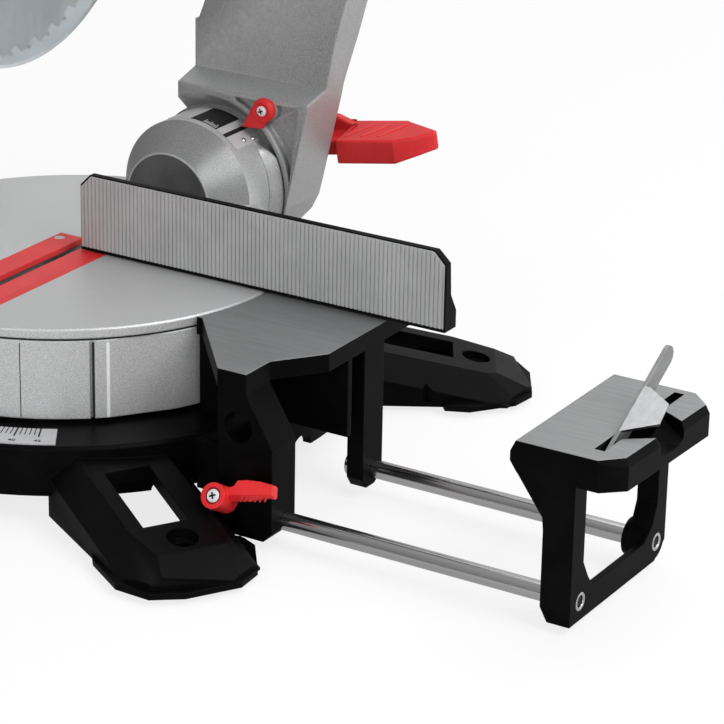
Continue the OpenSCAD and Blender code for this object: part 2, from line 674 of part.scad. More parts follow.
// Upper guard: a hollow cover over the blade's top with a boss for the lower guard
module upper_guard() color(silver) at_arbor() difference() {
  union() {
    along_x(-cover_x - 3, cover_x + 3) intersection() {
      circle(cover_out);
      head_sector(cover_out * 1.2, cover_span[0], cover_span[1]);
    }
    bar_x(0, 0, cover_x, cover_x + 3, case_r);
  }
  difference() {
    bar_x(0, 0, -cover_x, cover_x, cover_in);
    bar_x(0, 0, guard_x - 2.5, cover_x + 1, guard_boss_r);
  }
  bar_x(0, 0, -cover_x - 4, -cover_x + 1, 46);
  bar_x(0, 0, guard_x - 3, cover_x + 4, arbor_r + 2);
  bar_y(0, spout_rise, 90, 140, min(spout_r - 3, cover_x - 1));
}

// Belt case with the arm that reaches back to the hinge
module belt_case() color(silver) difference() {
  union() {
    at_arbor() along_x(case_x[0], case_x[1]) drive_outline(case_r, case_r);
    translate([0, hinge_y, hinge_z]) along_x(knuckle_x[0] + 2, case_x[1]) rotate(180 - raise)
      two_circles(arm_l, knuckle_r - 2, 30);
    bar_x(hinge_y, hinge_z, knuckle_x[0] + gap, knuckle_x[1] - gap, knuckle_r);
  }
  at_arbor() along_x(case_x[0] + 14, case_x[1] + 1) drive_outline(case_r - 4, case_r - 4);
  at_arbor() bar_x(0, 0, case_x[0] - 1, case_x[0] + 15, bearing_r);
  bar_x(hinge_y, hinge_z, knuckle_x[0], knuckle_x[1], hinge_r + fit);
}
module belt_cover() color(grey) difference() {
  at_arbor() along_x(case_x[1], lid_x) drive_outline(case_r, case_r);
  at_arbor() bar_x(0, 0, case_x[1] - 1, lid_x - 1.5, bearing_r);
  at_motor() bar_x(0, 0, case_x[1] - 1, lid_x + 1, shaft_r + 2);
  spindle_bore(button_r + fit);
}
button_r = 6;
lock_off_axis = bearing_r + button_r + 2;
lock_pin = [arbor_y - lock_off_axis * cos(45), arbor_z - lock_off_axis * sin(45)];
module spindle_bore(r) bar_x(lock_pin[0], lock_pin[1], case_x[1] - 1, lid_x + 1, r);
module spindle_lock() color(red) union() {
  bar_x(lock_pin[0], lock_pin[1], case_x[1] - 2, lid_x + 7, button_r);
  bar_x(lock_pin[0], lock_pin[1], lid_x + 5, lid_x + 8, button_r + 2);
}

module motor_housing() color(black) at_motor() difference() {
  bar_x(0, 0, motor_x[0], motor_x[1], motor_r);
  bar_x(0, 0, motor_x[0] + motor_wall, motor_x[1] + 1, motor_r - motor_wall);
  bar_x(0, 0, motor_x[0] - 1, motor_x[0] + motor_wall + 1, shaft_r + fit);
}
module motor_end_cap() color(black) at_motor() difference() {
  union() {
    bar_x(0, 0, motor_x[1], motor_x[2] - 6, motor_r);
    bar_x(0, 0, motor_x[2] - 6, motor_x[2], motor_r - 5);
  }
  difference() {
    bar_x(0, 0, motor_x[1] - 1, motor_x[2] - 11, motor_r - motor_wall);
    bar_x(0, 0, motor_x[2] - 18, motor_x[2], shaft_r + 6);
  }
  bar_x(0, 0, motor_x[1], motor_x[2] - 6, shaft_r + fit);
  for (i = [0 : 7]) rotate([45 * i, 0, 0]) translate([motor_x[2] - 12, 24, -2]) cube([20, 14, 4]);
}
module motor_stator() color(grey) at_motor() difference() {
  bar_x(0, 0, stator_x[0], stator_x[1], motor_r - motor_wall);
  bar_x(0, 0, stator_x[0] - 1, stator_x[1] + 1, armature_r + 3);
}
module armature() color(steel) at_motor() {
  bar_x(0, 0, pulley_x[0] - 2, motor_x[2] - 7, shaft_r);
  bar_x(0, 0, pulley_x[0], pulley_x[1], motor_pulley_r);
  bar_x(0, 0, motor_x[0] + 10, motor_x[0] + 18, motor_r - 2 * motor_wall - 4);
  bar_x(0, 0, stator_x[0], stator_x[1], armature_r);
  bar_x(0, 0, stator_x[1] + 8, stator_x[1] + 22, shaft_r + 7);
}
module drive_belt() color(rubber) at_arbor() along_x(pulley_x[0] + 1, pulley_x[1] - 1) difference() {
  drive_outline(arbor_pulley_r + 3 + gap, motor_pulley_r + 3 + gap);
  drive_outline(arbor_pulley_r + gap, motor_pulley_r + gap);
}

// Handle: a closed loop in front of the upper guard, with pockets for the trigger and the button
module at_grip() translate([0, grip_y, grip_z]) rotate([grip_tilt, 0, 0]) children();
module loop(r) {
  for (s = [-1, 1]) translate([s * grip_l / 2, 0]) circle(r);
  square([grip_l, 2 * r], center = true);
}
module handle() color(black) difference() {
  at_grip() difference() {
    along_x(-grip_w / 2, grip_w / 2) loop(grip_r);
    along_x(-grip_w, grip_w) loop(grip_hole_r);
    translate([-6 - gap, -14 - gap, 0]) cube([12 + 2 * gap, 36 + 2 * gap, 29]);
    bar_x(-34, 24, -grip_w, -3, button_r + fit);
  }
  at_arbor() bar_x(0, 0, -40, 40, cover_out);
}
module trigger() color(red) at_grip() difference() {
  translate([-6, -14, 6]) cube([12, 36, 18]);
  bar_x(4, -2, -7, 7, 12);
}
module lock_off_button() color(red) at_grip() bar_x(-34, 24, -grip_w / 2 - 4, -8, button_r);

// Dust spout behind the upper guard
spout_rise = 75;
spout_z = arbor_z + spout_rise;
spout_y = [arbor_y + 132, arbor_y + 172];
module dust_spout() color(black) difference() {
  union() {
    bar_y(0, spout_z, spout_y[0], spout_y[1], spout_r);
    bar_y(0, spout_z, arbor_y + 96, spout_y[0], spout_r + 3);
  }
  bar_y(0, spout_z, arbor_y + 95, spout_y[1] + 1, spout_r - 3);
  at_arbor() bar_x(0, 0, -40, 40, cover_out);
}

// Blade train: arbor with its pulley, bearings, flanges, bolt and blade
module arbor_bearings() color(steel) at_arbor() for (x = [case_x[0], case_x[1]]) difference() {
  bar_x(0, 0, x, x + (x == case_x[0] ? 12 : 6.5), bearing_r);
  bar_x(0, 0, x - 1, x + 14, arbor_r + fit);
}
module arbor() color(steel) at_arbor() difference() {
  union() {
    bar_x(0, 0, -blade_t / 2, blade_t / 2, blade_bore_r);
    bar_x(0, 0, blade_t / 2 - 0.1, lid_x - 2, arbor_r);
    bar_x(0, 0, pulley_x[0], pulley_x[1], arbor_pulley_r);
  }
  bar_x(0, 0, -blade_t, 22, 4);
}
module blade_flanges() color(grey) at_arbor() {
  difference() {
    bar_x(0, 0, blade_t / 2, blade_t / 2 + flange_t, flange_r);
    bar_x(0, 0, 0, blade_t / 2 + flange_t + 1, arbor_r);
  }
  difference() {
    bar_x(0, 0, -blade_t / 2 - flange_t, -blade_t / 2, flange_r);
    bar_x(0, 0, -blade_t - flange_t, 0, 4);
  }
}
module blade_bolt() color(steel) at_arbor() {
  translate([-blade_t / 2 - flange_t - 5, 0, 0]) rotate([0, 90, 0]) cylinder(h = 5, r = 8, $fn = 6);
  bar_x(0, 0, -blade_t / 2 - flange_t - 1, 21, 4);
}
module saw_blade() color(steel) at_arbor() along_x(-blade_t / 2, blade_t / 2) difference() {
  polygon([for (i = [0 : teeth - 1], k = [0, 1]) let (a = 360 / teeth * (i + 0.72 * k))
    head_dir(k == 0 ? blade_r - 7 : blade_r, a)]);
  circle(blade_bore_r);
}

// Lower guard: a clear shell that turns on the upper guard's boss
module lower_guard() color(smoke) at_arbor() difference() {
  union() {
    along_x(-guard_x, guard_x) intersection() {
      circle(guard_out);
      head_sector(guard_out * 1.2, guard_span[0], guard_span[1]);
    }
    bar_x(0, 0, guard_x - guard_wall, guard_x, guard_boss_r + 14);
  }
  bar_x(0, 0, -guard_x + guard_wall, guard_x - guard_wall, guard_in);
  bar_x(0, 0, -guard_x - 1, 0, 50);
  bar_x(0, 0, guard_x - 3, guard_x + 1, guard_boss_r + fit);
}

// Cord inlet on the back of the motor
gland_x = motor_x[0] + 70;
module cord_gland() color(rubber) difference() {
  bar_y(gland_x, motor_z, motor_y + motor_r - 4, motor_y + motor_r + 16, 9);
  bar_y(gland_x, motor_z, motor_y, motor_y + motor_r + 17, 4.5);
  at_motor() bar_x(0, 0, motor_x[0], motor_x[1], motor_r);
}

// Pull-out support: end frame, rods and flip stop
module top_edge(p, q) translate([p[0], p[1], table_z]) rotate([0, 0, atan2(q[1] - p[1], q[0] - p[0])])
  rotate([-24, 0, 0]) translate([-8, -20, -20]) cube([norm(q - p) + 16, 20, 40]);
module stop_notch() intersection() {
  along_z(table_z - 14, table_z + 1) polygon([[slot[1] - 1, stop_pivot[0] + 5], [frame_x + 27,
    stop_pivot[0] + 19],
    [frame_x + 40, stop_pivot[0] + 27], [frame_x + 40, stop_pivot[0] + 43], [frame_x + 27, stop_pivot[0] +
      50],
    [slot[1] - 1, stop_pivot[0] + 60]]);
  along_x(slot[1] - 1, frame_x + 40) polygon([[stop_pivot[0] + 3, table_z + 1], [stop_pivot[0] + 3, table_z
    - 4],
    [stop_pivot[0] + 24, table_z - 13], [stop_pivot[0] + 42, table_z - 13], [stop_pivot[0] + 52, table_z - 9],
    [stop_pivot[0] + 60, table_z - 4], [stop_pivot[0] + 60, table_z + 1]]);
}
module frame_side() difference() {
  polygon([[frame_front, frame_foot], [rear_rod_y - 2, frame_foot], [frame_back, frame_foot + 10],
    [frame_back, table_z - block_h + 1], [frame_front, table_z - block_h + 1]]);
  polygon([[frame_front + 15, rod_z + 25], [frame_front + 21.6, rod_z + 13.5], [frame_front + 28, rod_z +
    5.5],
    [rear_rod_y - 18, rod_z + 5.5], [rear_rod_y - 8, rod_z + 13], [rear_rod_y - 2, rod_z + 26],
    [rear_rod_y - 2, table_z - block_h - 1], [frame_front + 15, table_z - block_h - 1]]);
}
module frame_leg(t, y0, y1) along_x(frame_x - t, frame_x) intersection() {
  frame_side();
  translate([y0, 0]) square([y1 - y0, table_z]);
}
module frame_brace(t, y) along_y(y, y + 13)
  polygon([[frame_x - t - 0.8, rod_z + 54 - 1.38 * (frame_t - t)], [frame_x - 43.5, table_z - 13],
    [frame_x - 6, table_z - 13], [frame_x - 6, rod_z + 35], [frame_x - t + 1, rod_z + 35]]);
module end_frame() difference() {
  union() {
    frame_leg(frame_t, frame_front, frame_front + 23);
    frame_leg(rear_leg_t, rear_rod_y - 14, frame_back);
    frame_leg(sill_t, frame_front, frame_back);
    frame_brace(frame_t, frame_front);
    frame_brace(rear_leg_t, frame_back - 13);
    along_z(table_z - block_h, table_z) polygon([[frame_x - 43.5, frame_front], [frame_x + 14.5, frame_front],
      [frame_x + 27.4, frame_front + 12], [frame_x + 30.4, frame_back - 12], [frame_x + 17, frame_back],
      [frame_x - 43.5, frame_back]]);
    bar_x(rear_rod_y, rod_z, frame_x - rear_leg_t - 4.5, frame_x - 1, 2 * rod_r);
  }
  along_y(frame_front - 1, frame_back + 1) polygon([[frame_x - 45, table_z - 13], [frame_x - 43.5, table_z
    - 13],
    [frame_x - 38, table_z - block_h - 1], [frame_x - 45, table_z - block_h - 1]]);
  for (e = [[13, frame_front, 25, frame_front + 13], [25, frame_front + 13, 28, frame_back - 13],
    [28, frame_back - 13, 15, frame_back]]) top_edge([frame_x + e[0], e[1]], [frame_x + e[2], e[3]]);
  along_y(frame_front - 1, frame_back + 1) polygon([[frame_x - 44, table_z + 0.1], [frame_x - 40, table_z +
    0.1],
    [frame_x - 43.5, table_z - 7], [frame_x - 44, table_z - 7]]);
  along_y(frame_front - 1, frame_front + 24) polygon([[frame_x - frame_t - 20, frame_foot - 1],
    [frame_x - frame_t + 5.5, frame_foot - 1], [frame_x - frame_t, frame_foot + 9],
    [frame_x - frame_t - 20, frame_foot + 9]]);
  translate([slot[0], frame_front + 14.5, table_z - 17])
    cube([slot[1] - slot[0], frame_back - frame_front - 20, 18]);
  stop_notch();
  bar_x(stop_pivot[0], stop_pivot[1], slot[0] - 3, slot[1] + 3, stop_pin_r);
  rod_tunnels(rod_r, frame_x - frame_t - 12, frame_x + 1);
}
module stop_pin() bar_x(stop_pivot[0], stop_pivot[1], slot[0] - 3, slot[1] + 3, stop_pin_r);
module right_end_frame() color(black) union() {
  end_frame();
  stop_pin();
}
module left_end_frame() color(black) mirror([1, 0, 0]) union() {
  end_frame();
  stop_pin();
}
module rod(y, x0) difference() {
  union() {
    bar_x(y, rod_z, x0, frame_x, rod_r);
    bar_x(y, rod_z, x0 - 6, x0, collar_r);
  }
  translate([frame_x - 8, y, rod_z]) rotate([0, 90, 0]) cylinder(h = 9, r = 0.62 * rod_r);
}
module rods() {
  rod(front_rod_y, block_x[0] - gap);
  rod(rear_rod_y, wing_x - 12 - gap);
}
module right_rods() color(steel) rods();
module left_rods() color(steel) mirror([1, 0, 0]) rods();

// Flip stop: a strip with a rounded end and a finger tab folded from its upper edge
stop_l = 78;
module flip_stop() translate([0, stop_pivot[0], stop_pivot[1]]) rotate([stop_rise, 0, 0]) difference() {
  union() {
    along_x(stop_x, stop_x + stop_t) {
      translate([stop_l, -2.75]) circle(6.25);
      translate([-6, -9]) square([stop_l + 6, 12.5]);
    }
    translate([stop_x + stop_t, 0, 3.5]) rotate([0, 20, 0]) along_z(-stop_t, 0)
      polygon([[-1, 12], [-1, 48], [3, 48.5], [16.9, 43.5], [18, 28.3]]);
  }
  bar_x(0, 0, stop_x - 1, stop_x + stop_t + 1, stop_pin_r + fit);
}
module right_flip_stop() color(steel) flip_stop();
module left_flip_stop() color(steel) mirror([1, 0, 0]) flip_stop();

// Clamp lever: a hub on the stud and a paddle whose lower flank is slanted
module clamp_paddle() difference() {
  translate([0, 0, paddle_w[0]]) linear_extrude(paddle_w[1] - paddle_w[0]) polygon([[2, 7.4], [6.3, 7.3],
    [10.1, 9.1], [11.7, 13], [17.8, 14.7], [26.9, 15.9], [35, 15.9], [36.4, 15], [38, 9], [37, 7.8],
    [33.4, 7.6], [28.3, 5.6], [21.7, 3.2], [12.9, 1.1], [5.7, -2]]);
  translate([9.1, 3.2, paddle_w[1]]) rotate([0, 0, 13.2]) rotate([-34, 0, 0]) translate([-20, -20, -20])
    cube([60, 20, 40]);
}
module clamp_lever() difference() {
  union() {
    at_clamp(-lever_t) cylinder(h = lever_t, r = lever_r);
    at_clamp(0) clamp_paddle();
  }
  at_clamp(-lever_t - 1) cylinder(h = lever_t, r = clamp_r + fit);
  at_clamp(-4) cylinder(h = 5, r = clamp_head_r + 1.3);
}
module right_clamp_lever() color(red) clamp_lever();
module left_clamp_lever() color(red) mirror([1, 0, 0]) clamp_lever();

base_casting();
wing_bolts();
rubber_feet();
right_wing();
left_wing();
mitre_scale();
right_fence();
left_fence();
fence_bolts();
clamp_studs();
turntable();
left_insert();
right_insert();
insert_screws();
mitre_pointer();
pivot_bolt();
bevel_scale();
bevel_bolt();
mitre_knob();
mitre_stud();
bevel_arm();
bevel_pointer();
rail_bushes();
bevel_lever();
rail_lock_knob();
slide_rails();
rail_end_cap();
hinge_bracket();
hinge_pin();
upper_guard();
belt_case();
belt_cover();
motor_housing();
motor_end_cap();
motor_stator();
drive_belt();
handle();
dust_spout();
arbor_bearings();
cord_gland();
saw_blade();
arbor();
blade_flanges();
blade_bolt();
armature();
lower_guard();
trigger();
lock_off_button();
spindle_lock();
right_end_frame();
right_rods();
right_flip_stop();
left_end_frame();
left_rods();
left_flip_stop();
right_clamp_lever();
left_clamp_lever();
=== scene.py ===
"""Looks of the sliding mitre saw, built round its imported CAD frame. Metres, +Z up, bench at Z = 0."""
import json
import math

import bmesh
import bpy
from mathutils import Matrix, Vector


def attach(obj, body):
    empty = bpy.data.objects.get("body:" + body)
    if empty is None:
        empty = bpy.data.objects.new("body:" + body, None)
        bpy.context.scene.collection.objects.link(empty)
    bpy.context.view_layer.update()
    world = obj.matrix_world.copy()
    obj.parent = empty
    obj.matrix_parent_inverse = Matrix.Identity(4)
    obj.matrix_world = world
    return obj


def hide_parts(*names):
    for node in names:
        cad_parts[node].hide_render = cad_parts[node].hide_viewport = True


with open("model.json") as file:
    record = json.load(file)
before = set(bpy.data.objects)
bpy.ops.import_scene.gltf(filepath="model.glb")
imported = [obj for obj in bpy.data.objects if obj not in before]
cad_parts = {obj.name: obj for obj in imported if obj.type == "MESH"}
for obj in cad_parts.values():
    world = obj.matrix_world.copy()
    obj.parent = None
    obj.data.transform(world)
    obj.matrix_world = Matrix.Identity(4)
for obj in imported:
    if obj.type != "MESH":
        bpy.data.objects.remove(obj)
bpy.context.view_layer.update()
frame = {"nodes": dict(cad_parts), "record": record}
scene = bpy.context.scene
scene.view_settings.view_transform = "Standard"
BODY = {n: b for b, ns in frame["record"]["behaviour"]["bodies"].items() for n in ns}
TABLE = 0.116  # height of the table top and of the bevel axis


# Camera, solved from the photograph's straight edges
CAMERA_ANGLES = (31.03, 21.55, 1.12)
CAMERA_PLACE = (1.19031, -1.59342, 0.81812)
CAMERA_LENS = 154.95


def add_camera():
    az, el, roll = (math.radians(a) for a in CAMERA_ANGLES)
    back = Vector((math.sin(az) * math.cos(el), -math.cos(az) * math.cos(el), math.sin(el)))
    right = Vector((math.cos(az), math.sin(az), 0))
    up = back.cross(right)
    rx = right * math.cos(roll) + up * math.sin(roll)
    uy = -right * math.sin(roll) + up * math.cos(roll)
    data = bpy.data.cameras.new("camera")
    data.lens = CAMERA_LENS
    data.sensor_width = 36
    data.clip_end = 50
    cam = bpy.data.objects.new("camera", data)
    scene.collection.objects.link(cam)
    m = Matrix((rx, uy, back)).transposed().to_4x4()
    m.translation = Vector(CAMERA_PLACE)
    cam.matrix_world = m
    scene.camera = cam


# Material helpers
def new_mat(name):
    """A new material, its node tree and its shader."""
    mat = bpy.data.materials.new(name)
    mat.use_nodes = True
    nt = mat.node_tree
    return mat, nt, nt.nodes["Principled BSDF"]


def coords(nt, scale=(1, 1, 1)):
    """Object coordinates, which are the CAD's own, in metres."""
    tc = nt.nodes.new("ShaderNodeTexCoord")
    mp = nt.nodes.new("ShaderNodeMapping")
    mp.inputs["Scale"].default_value = scale
    nt.links.new(tc.outputs["Object"], mp.inputs["Vector"])
    return mp.outputs["Vector"]


def noise(nt, scale, detail=3.0, stretch=(1, 1, 1)):
    n = nt.nodes.new("ShaderNodeTexNoise")
    n.inputs["Scale"].default_value = scale
    n.inputs["Detail"].default_value = detail
    nt.links.new(coords(nt, stretch), n.inputs["Vector"])
    return n.outputs["Fac"]


def lathe_lines(nt, scale):
    """Fine rings round the turntable's axis, as a facing cut leaves them."""
    length = nt.nodes.new("ShaderNodeVectorMath")
    length.operation = "LENGTH"
    nt.links.new(coords(nt, (1, 1, 0)), length.inputs[0])
    n = nt.nodes.new("ShaderNodeTexNoise")
    n.noise_dimensions = "1D"
    n.inputs["Scale"].default_value = scale
    n.inputs["Detail"].default_value = 3
    nt.links.new(length.outputs["Value"], n.inputs["W"])
    return n.outputs["Fac"]


def ramp(nt, fac, lo, hi, a=0.35, b=0.65):
    """A colour that goes from lo to hi while fac goes from a to b."""
    r = nt.nodes.new("ShaderNodeValToRGB")
    r.color_ramp.elements[0].position = a
    r.color_ramp.elements[1].position = b
    r.color_ramp.elements[0].color = (*lo, 1)
    r.color_ramp.elements[1].color = (*hi, 1)
    nt.links.new(fac, r.inputs["Fac"])
    return r.outputs["Color"]


def span(nt, fac, lo, hi):
    """A number that goes from lo to hi while fac goes from 0 to 1."""
    r = nt.nodes.new("ShaderNodeMapRange")
    r.inputs["To Min"].default_value = lo
    r.inputs["To Max"].default_value = hi
    nt.links.new(fac, r.inputs["Value"])
    return r.outputs["Result"]


def mix_col(nt, fac, a, b):
    m = nt.nodes.new("ShaderNodeMix")
    m.data_type = "RGBA"
    nt.links.new(fac, m.inputs["Factor"])
    for sock, v in ((m.inputs["A"], a), (m.inputs["B"], b)):
        if hasattr(v, "is_output"):
            nt.links.new(v, sock)
        else:
            sock.default_value = (*v, 1)
    return m.outputs["Result"]


def math_node(nt, op, a, b=None):
    m = nt.nodes.new("ShaderNodeMath")
    m.operation = op
    for i, v in enumerate((a, b)):
        if v is None:
            continue
        if hasattr(v, "is_output"):
            nt.links.new(v, m.inputs[i])
        else:
            m.inputs[i].default_value = v
    return m.outputs[0]


def bump(nt, bsdf, height, strength, dist, edge=0.0):
    """A relief of the given height, over edges that shade as if rounded to the radius edge."""
    b = nt.nodes.new("ShaderNodeBump")
    b.inputs["Strength"].default_value = strength
    b.inputs["Distance"].default_value = dist
    nt.links.new(height, b.inputs["Height"])
    if edge:
        r = nt.nodes.new("ShaderNodeBevel")
        r.samples = 4
        r.inputs["Radius"].default_value = edge
        nt.links.new(r.outputs["Normal"], b.inputs["Normal"])
    nt.links.new(b.outputs["Normal"], bsdf.inputs["Normal"])


def edge_mask(nt, lo=0.52, hi=0.62):
    """1 on sharp outer edges, 0 on flat faces."""
    g = nt.nodes.new("ShaderNodeNewGeometry")
    r = nt.nodes.new("ShaderNodeMapRange")
    r.inputs["From Min"].default_value = lo
    r.inputs["From Max"].default_value = hi
    nt.links.new(g.outputs["Pointiness"], r.inputs["Value"])
    return r.outputs["Result"]


def level_top(nt, z_min):
    """1 on level faces that look up from above z_min, 0 elsewhere."""
    g = nt.nodes.new("ShaderNodeNewGeometry")
    sep = nt.nodes.new("ShaderNodeSeparateXYZ")
    nt.links.new(g.outputs["True Normal"], sep.inputs[0])
    pos = nt.nodes.new("ShaderNodeSeparateXYZ")
    nt.links.new(coords(nt), pos.inputs[0])
    up = math_node(nt, "GREATER_THAN", sep.outputs["Z"], 0.95)
    return math_node(nt, "MULTIPLY", up, math_node(nt, "GREATER_THAN", pos.outputs["Z"], z_min))


def coat(name, lo, hi, rough, spec, grain, grain_k, wear=None, edge=0.0):
    """A painted or moulded surface: cloudy colour, uneven gloss, fine grain and paler worn edges."""
    mat, nt, b = new_mat(name)
    col = ramp(nt, noise(nt, 45), lo, hi)
    if wear:
        worn = math_node(nt, "MULTIPLY", edge_mask(nt), span(nt, noise(nt, 220), 0.2, 1.0))
        col = mix_col(nt, worn, col, wear)
    nt.links.new(col, b.inputs["Base Color"])
    b.inputs["Specular IOR Level"].default_value = spec
    nt.links.new(span(nt, noise(nt, 90, 4), rough - 0.07, rough + 0.07), b.inputs["Roughness"])
    bump(nt, b, noise(nt, grain, 2), grain_k, 0.0004, edge)
    return mat


def sparkle(nt, k):
    """Colour and grain of silver paint, as bright as k says, with paler worn edges."""
    grain = noise(nt, 1500, 2)
    lo = [c * k for c in (0.34, 0.342, 0.345)]
    hi = [c * k for c in (0.58, 0.583, 0.588)]
    col = ramp(nt, grain, lo, hi, 0.3, 0.7)
    worn = math_node(nt, "MULTIPLY", edge_mask(nt), span(nt, noise(nt, 260), 0.1, 0.8))
    return mix_col(nt, worn, col, (0.68, 0.683, 0.69)), grain


CONE_BACK = 0.1402  # where the pivot cone meets the drum's cylinder


def cone_mask(nt):
    """Mask of the painted shade: 1 on the pivot cone at the front of the bevel drum, 0 elsewhere."""
    pos = nt.nodes.new("ShaderNodeSeparateXYZ")
    nt.links.new(coords(nt), pos.inputs[0])
    front = math_node(nt, "LESS_THAN", pos.outputs["Y"], CONE_BACK)
    above = math_node(nt, "GREATER_THAN", pos.outputs["Z"], TABLE + 0.0004)
    return math_node(nt, "MULTIPLY", front, above)


def silver_paint(name):
    """Paint of the arm and the head's castings: the turntable's silver paint made darker, as painted shade."""
    mat, nt, b = new_mat(name)
    # Painted shade: the 0.78 makes this silver darker than the same paint on the turntable.
    col, grain = sparkle(nt, 0.78)
    nt.links.new(col, b.inputs["Base Color"])
    b.inputs["Metallic"].default_value = 0.5
    nt.links.new(span(nt, noise(nt, 80, 4), 0.38, 0.48), b.inputs["Roughness"])
    bump(nt, b, grain, 0.22, 0.0004, 0.003)
    return mat


def table_metal(name):
    """The arm's silver paint, painted lighter on the turntable as painted light and darker on its pivot cone as
    painted shade, with a top that was turned flat.
    """
    mat, nt, b = new_mat(name)
    # Painted light: the 1.15 makes this silver lighter than the same paint on the arm.
    col, grain = sparkle(nt, 1.15)
    # Painted shade: a darker copy of the silver on the pivot cone.
    cone = ramp(nt, grain, (0.20, 0.202, 0.204), (0.34, 0.342, 0.345), 0.3, 0.7)
    col = mix_col(nt, cone_mask(nt), col, cone)
    mask = level_top(nt, TABLE - 0.0005)
    rings = lathe_lines(nt, 900)
    bare = ramp(nt, rings, (0.50, 0.503, 0.508), (0.60, 0.603, 0.608), 0.2, 0.8)
    nt.links.new(mix_col(nt, mask, col, bare), b.inputs["Base Color"])
    b.inputs["Metallic"].default_value = 0.5
    nt.links.new(span(nt, noise(nt, 80, 4), 0.38, 0.48), b.inputs["Roughness"])
    both = nt.nodes.new("ShaderNodeMix")
    nt.links.new(mask, both.inputs["Factor"])
    nt.links.new(grain, both.inputs["A"])
    nt.links.new(rings, both.inputs["B"])
    bump(nt, b, both.outputs["Result"], 0.2, 0.0003, 0.0014)
    return mat


def bare_top(name, paint, bare):
    """Black paint whose level top faces are left bare and ground along the fence."""
    mat, nt, b = new_mat(name)
    mask = level_top(nt, TABLE - 0.0005)
    dark = ramp(nt, noise(nt, 45), *paint)
    pale = ramp(nt, noise(nt, 260, 4, (0.08, 1, 1)), [c * 0.82 for c in bare], bare, 0.25, 0.75)
    nt.links.new(mix_col(nt, mask, dark, pale), b.inputs["Base Color"])
    nt.links.new(span(nt, mask, 0.0, 0.75), b.inputs["Metallic"])
    b.inputs["Specular IOR Level"].default_value = 0.04
    nt.links.new(span(nt, noise(nt, 90, 4), 0.36, 0.48), b.inputs["Roughness"])
    bump(nt, b, noise(nt, 1400, 2), 0.1, 0.0004, 0.0012)
    return mat


def steel(name, base, rough, stretch, streak=0.25, scale=300):
    """Bare metal with fine drawn or ground streaks."""
    mat, nt, b = new_mat(name)
    n = noise(nt, scale, 4, stretch)
    nt.links.new(ramp(nt, n, [c * 0.84 for c in base], base), b.inputs["Base Color"])
    b.inputs["Metallic"].default_value = 1.0
    nt.links.new(span(nt, n, rough - 0.06, rough + 0.1), b.inputs["Roughness"])
    bump(nt, b, n, streak, 0.0001)
    return mat


def clear_plastic(name):
    """Clear guard with faint haze."""
    mat, nt, b = new_mat(name)
    tint = ramp(nt, noise(nt, 30), (0.62, 0.68, 0.71), (0.72, 0.77, 0.79))
    nt.links.new(tint, b.inputs["Base Color"])
    b.inputs["Transmission Weight"].default_value = 0.8
    b.inputs["IOR"].default_value = 1.49
    nt.links.new(span(nt, noise(nt, 140, 4), 0.06, 0.2), b.inputs["Roughness"])
    return mat


BLACK = ((0.0013, 0.0013, 0.0015), (0.0026, 0.0026, 0.0030))
M = {
    "black": coat("black_powder_coat", *BLACK, 0.4, 0.04, 1400, 0.12,
                  wear=(0.012, 0.012, 0.013), edge=0.0013),
    "black_top": bare_top("black_with_ground_top", BLACK, (0.31, 0.313, 0.317)),
    "silver": silver_paint("silver_cast_paint_shaded"),
    "table": table_metal("turned_table_lit_and_shaded"),
    "red": coat("red_plastic", (0.60, 0.016, 0.019), (0.68, 0.023, 0.027), 0.38, 0.3, 900, 0.06,
                wear=(0.78, 0.07, 0.07), edge=0.0011),
    "plastic": coat("black_plastic", (0.012, 0.012, 0.013), (0.019, 0.019, 0.021), 0.5, 0.4, 1100, 0.2,
                    edge=0.0012),
    "grip": coat("grip_rubber", (0.02, 0.02, 0.021), (0.03, 0.03, 0.031), 0.7, 0.35, 700, 0.3),
    "rubber": coat("black_rubber", (0.008, 0.008, 0.008), (0.014, 0.014, 0.014), 0.75, 0.35, 700, 0.25),
    "rod": steel("drawn_rod_steel", (0.62, 0.62, 0.625), 0.17, (0.02, 1, 1), 0.35),
    "rail": steel("ground_rail_steel", (0.55, 0.555, 0.56), 0.2, (1, 0.02, 1), 0.2),
    "sheet": steel("satin_sheet_steel", (0.34, 0.342, 0.346), 0.36, (1, 0.05, 1), 0.2),
    "blade": steel("blade_steel", (0.5, 0.505, 0.515), 0.3, (1, 1, 0.05), 0.2),
    "bolt": steel("zinc_steel", (0.6, 0.61, 0.62), 0.3, (1, 1, 1), 0.15, 500),
    "tip": steel("carbide", (0.33, 0.325, 0.32), 0.35, (1, 1, 1), 0.15, 800),
    "brass": steel("bearing_bronze", (0.6, 0.45, 0.22), 0.35, (1, 0.1, 1), 0.15),
    "rib": coat("milled_fence_face", (0.34, 0.342, 0.345), (0.38, 0.382, 0.386), 0.45, 0.5, 1200, 0.1),
    "plate": coat("scale_plate", (0.40, 0.402, 0.41), (0.47, 0.472, 0.48), 0.42, 0.5, 1200, 0.04),
    # Print of scales and labels; the same dark colour also paints shade in grooves, recesses, slots and sockets.
    "ink_and_shade": coat("scale_ink_and_painted_shade", (0.006, 0.006, 0.006), (0.012, 0.012, 0.012), 0.6, 0.3, 900, 0.05),
    "disc": coat("grey_pivot_cap", (0.055, 0.055, 0.056), (0.085, 0.085, 0.087), 0.45, 0.5, 1500, 0.2),
    # A pale flat colour for screw heads and ridges: painted highlight where bright metal would mirror the light.
    "bright": coat("zinc_with_painted_highlight", (0.62, 0.622, 0.63), (0.72, 0.722, 0.73), 0.3, 0.8, 900, 0.05),
    "white": coat("scale_white", (0.55, 0.55, 0.55), (0.62, 0.62, 0.62), 0.5, 0.4, 900, 0.05),
    "clear": clear_plastic("clear_smoked_guard"),
}


# Mesh helpers
EDGE_ANGLE = 24  # edges that bend by more than this, in degrees, count as edges


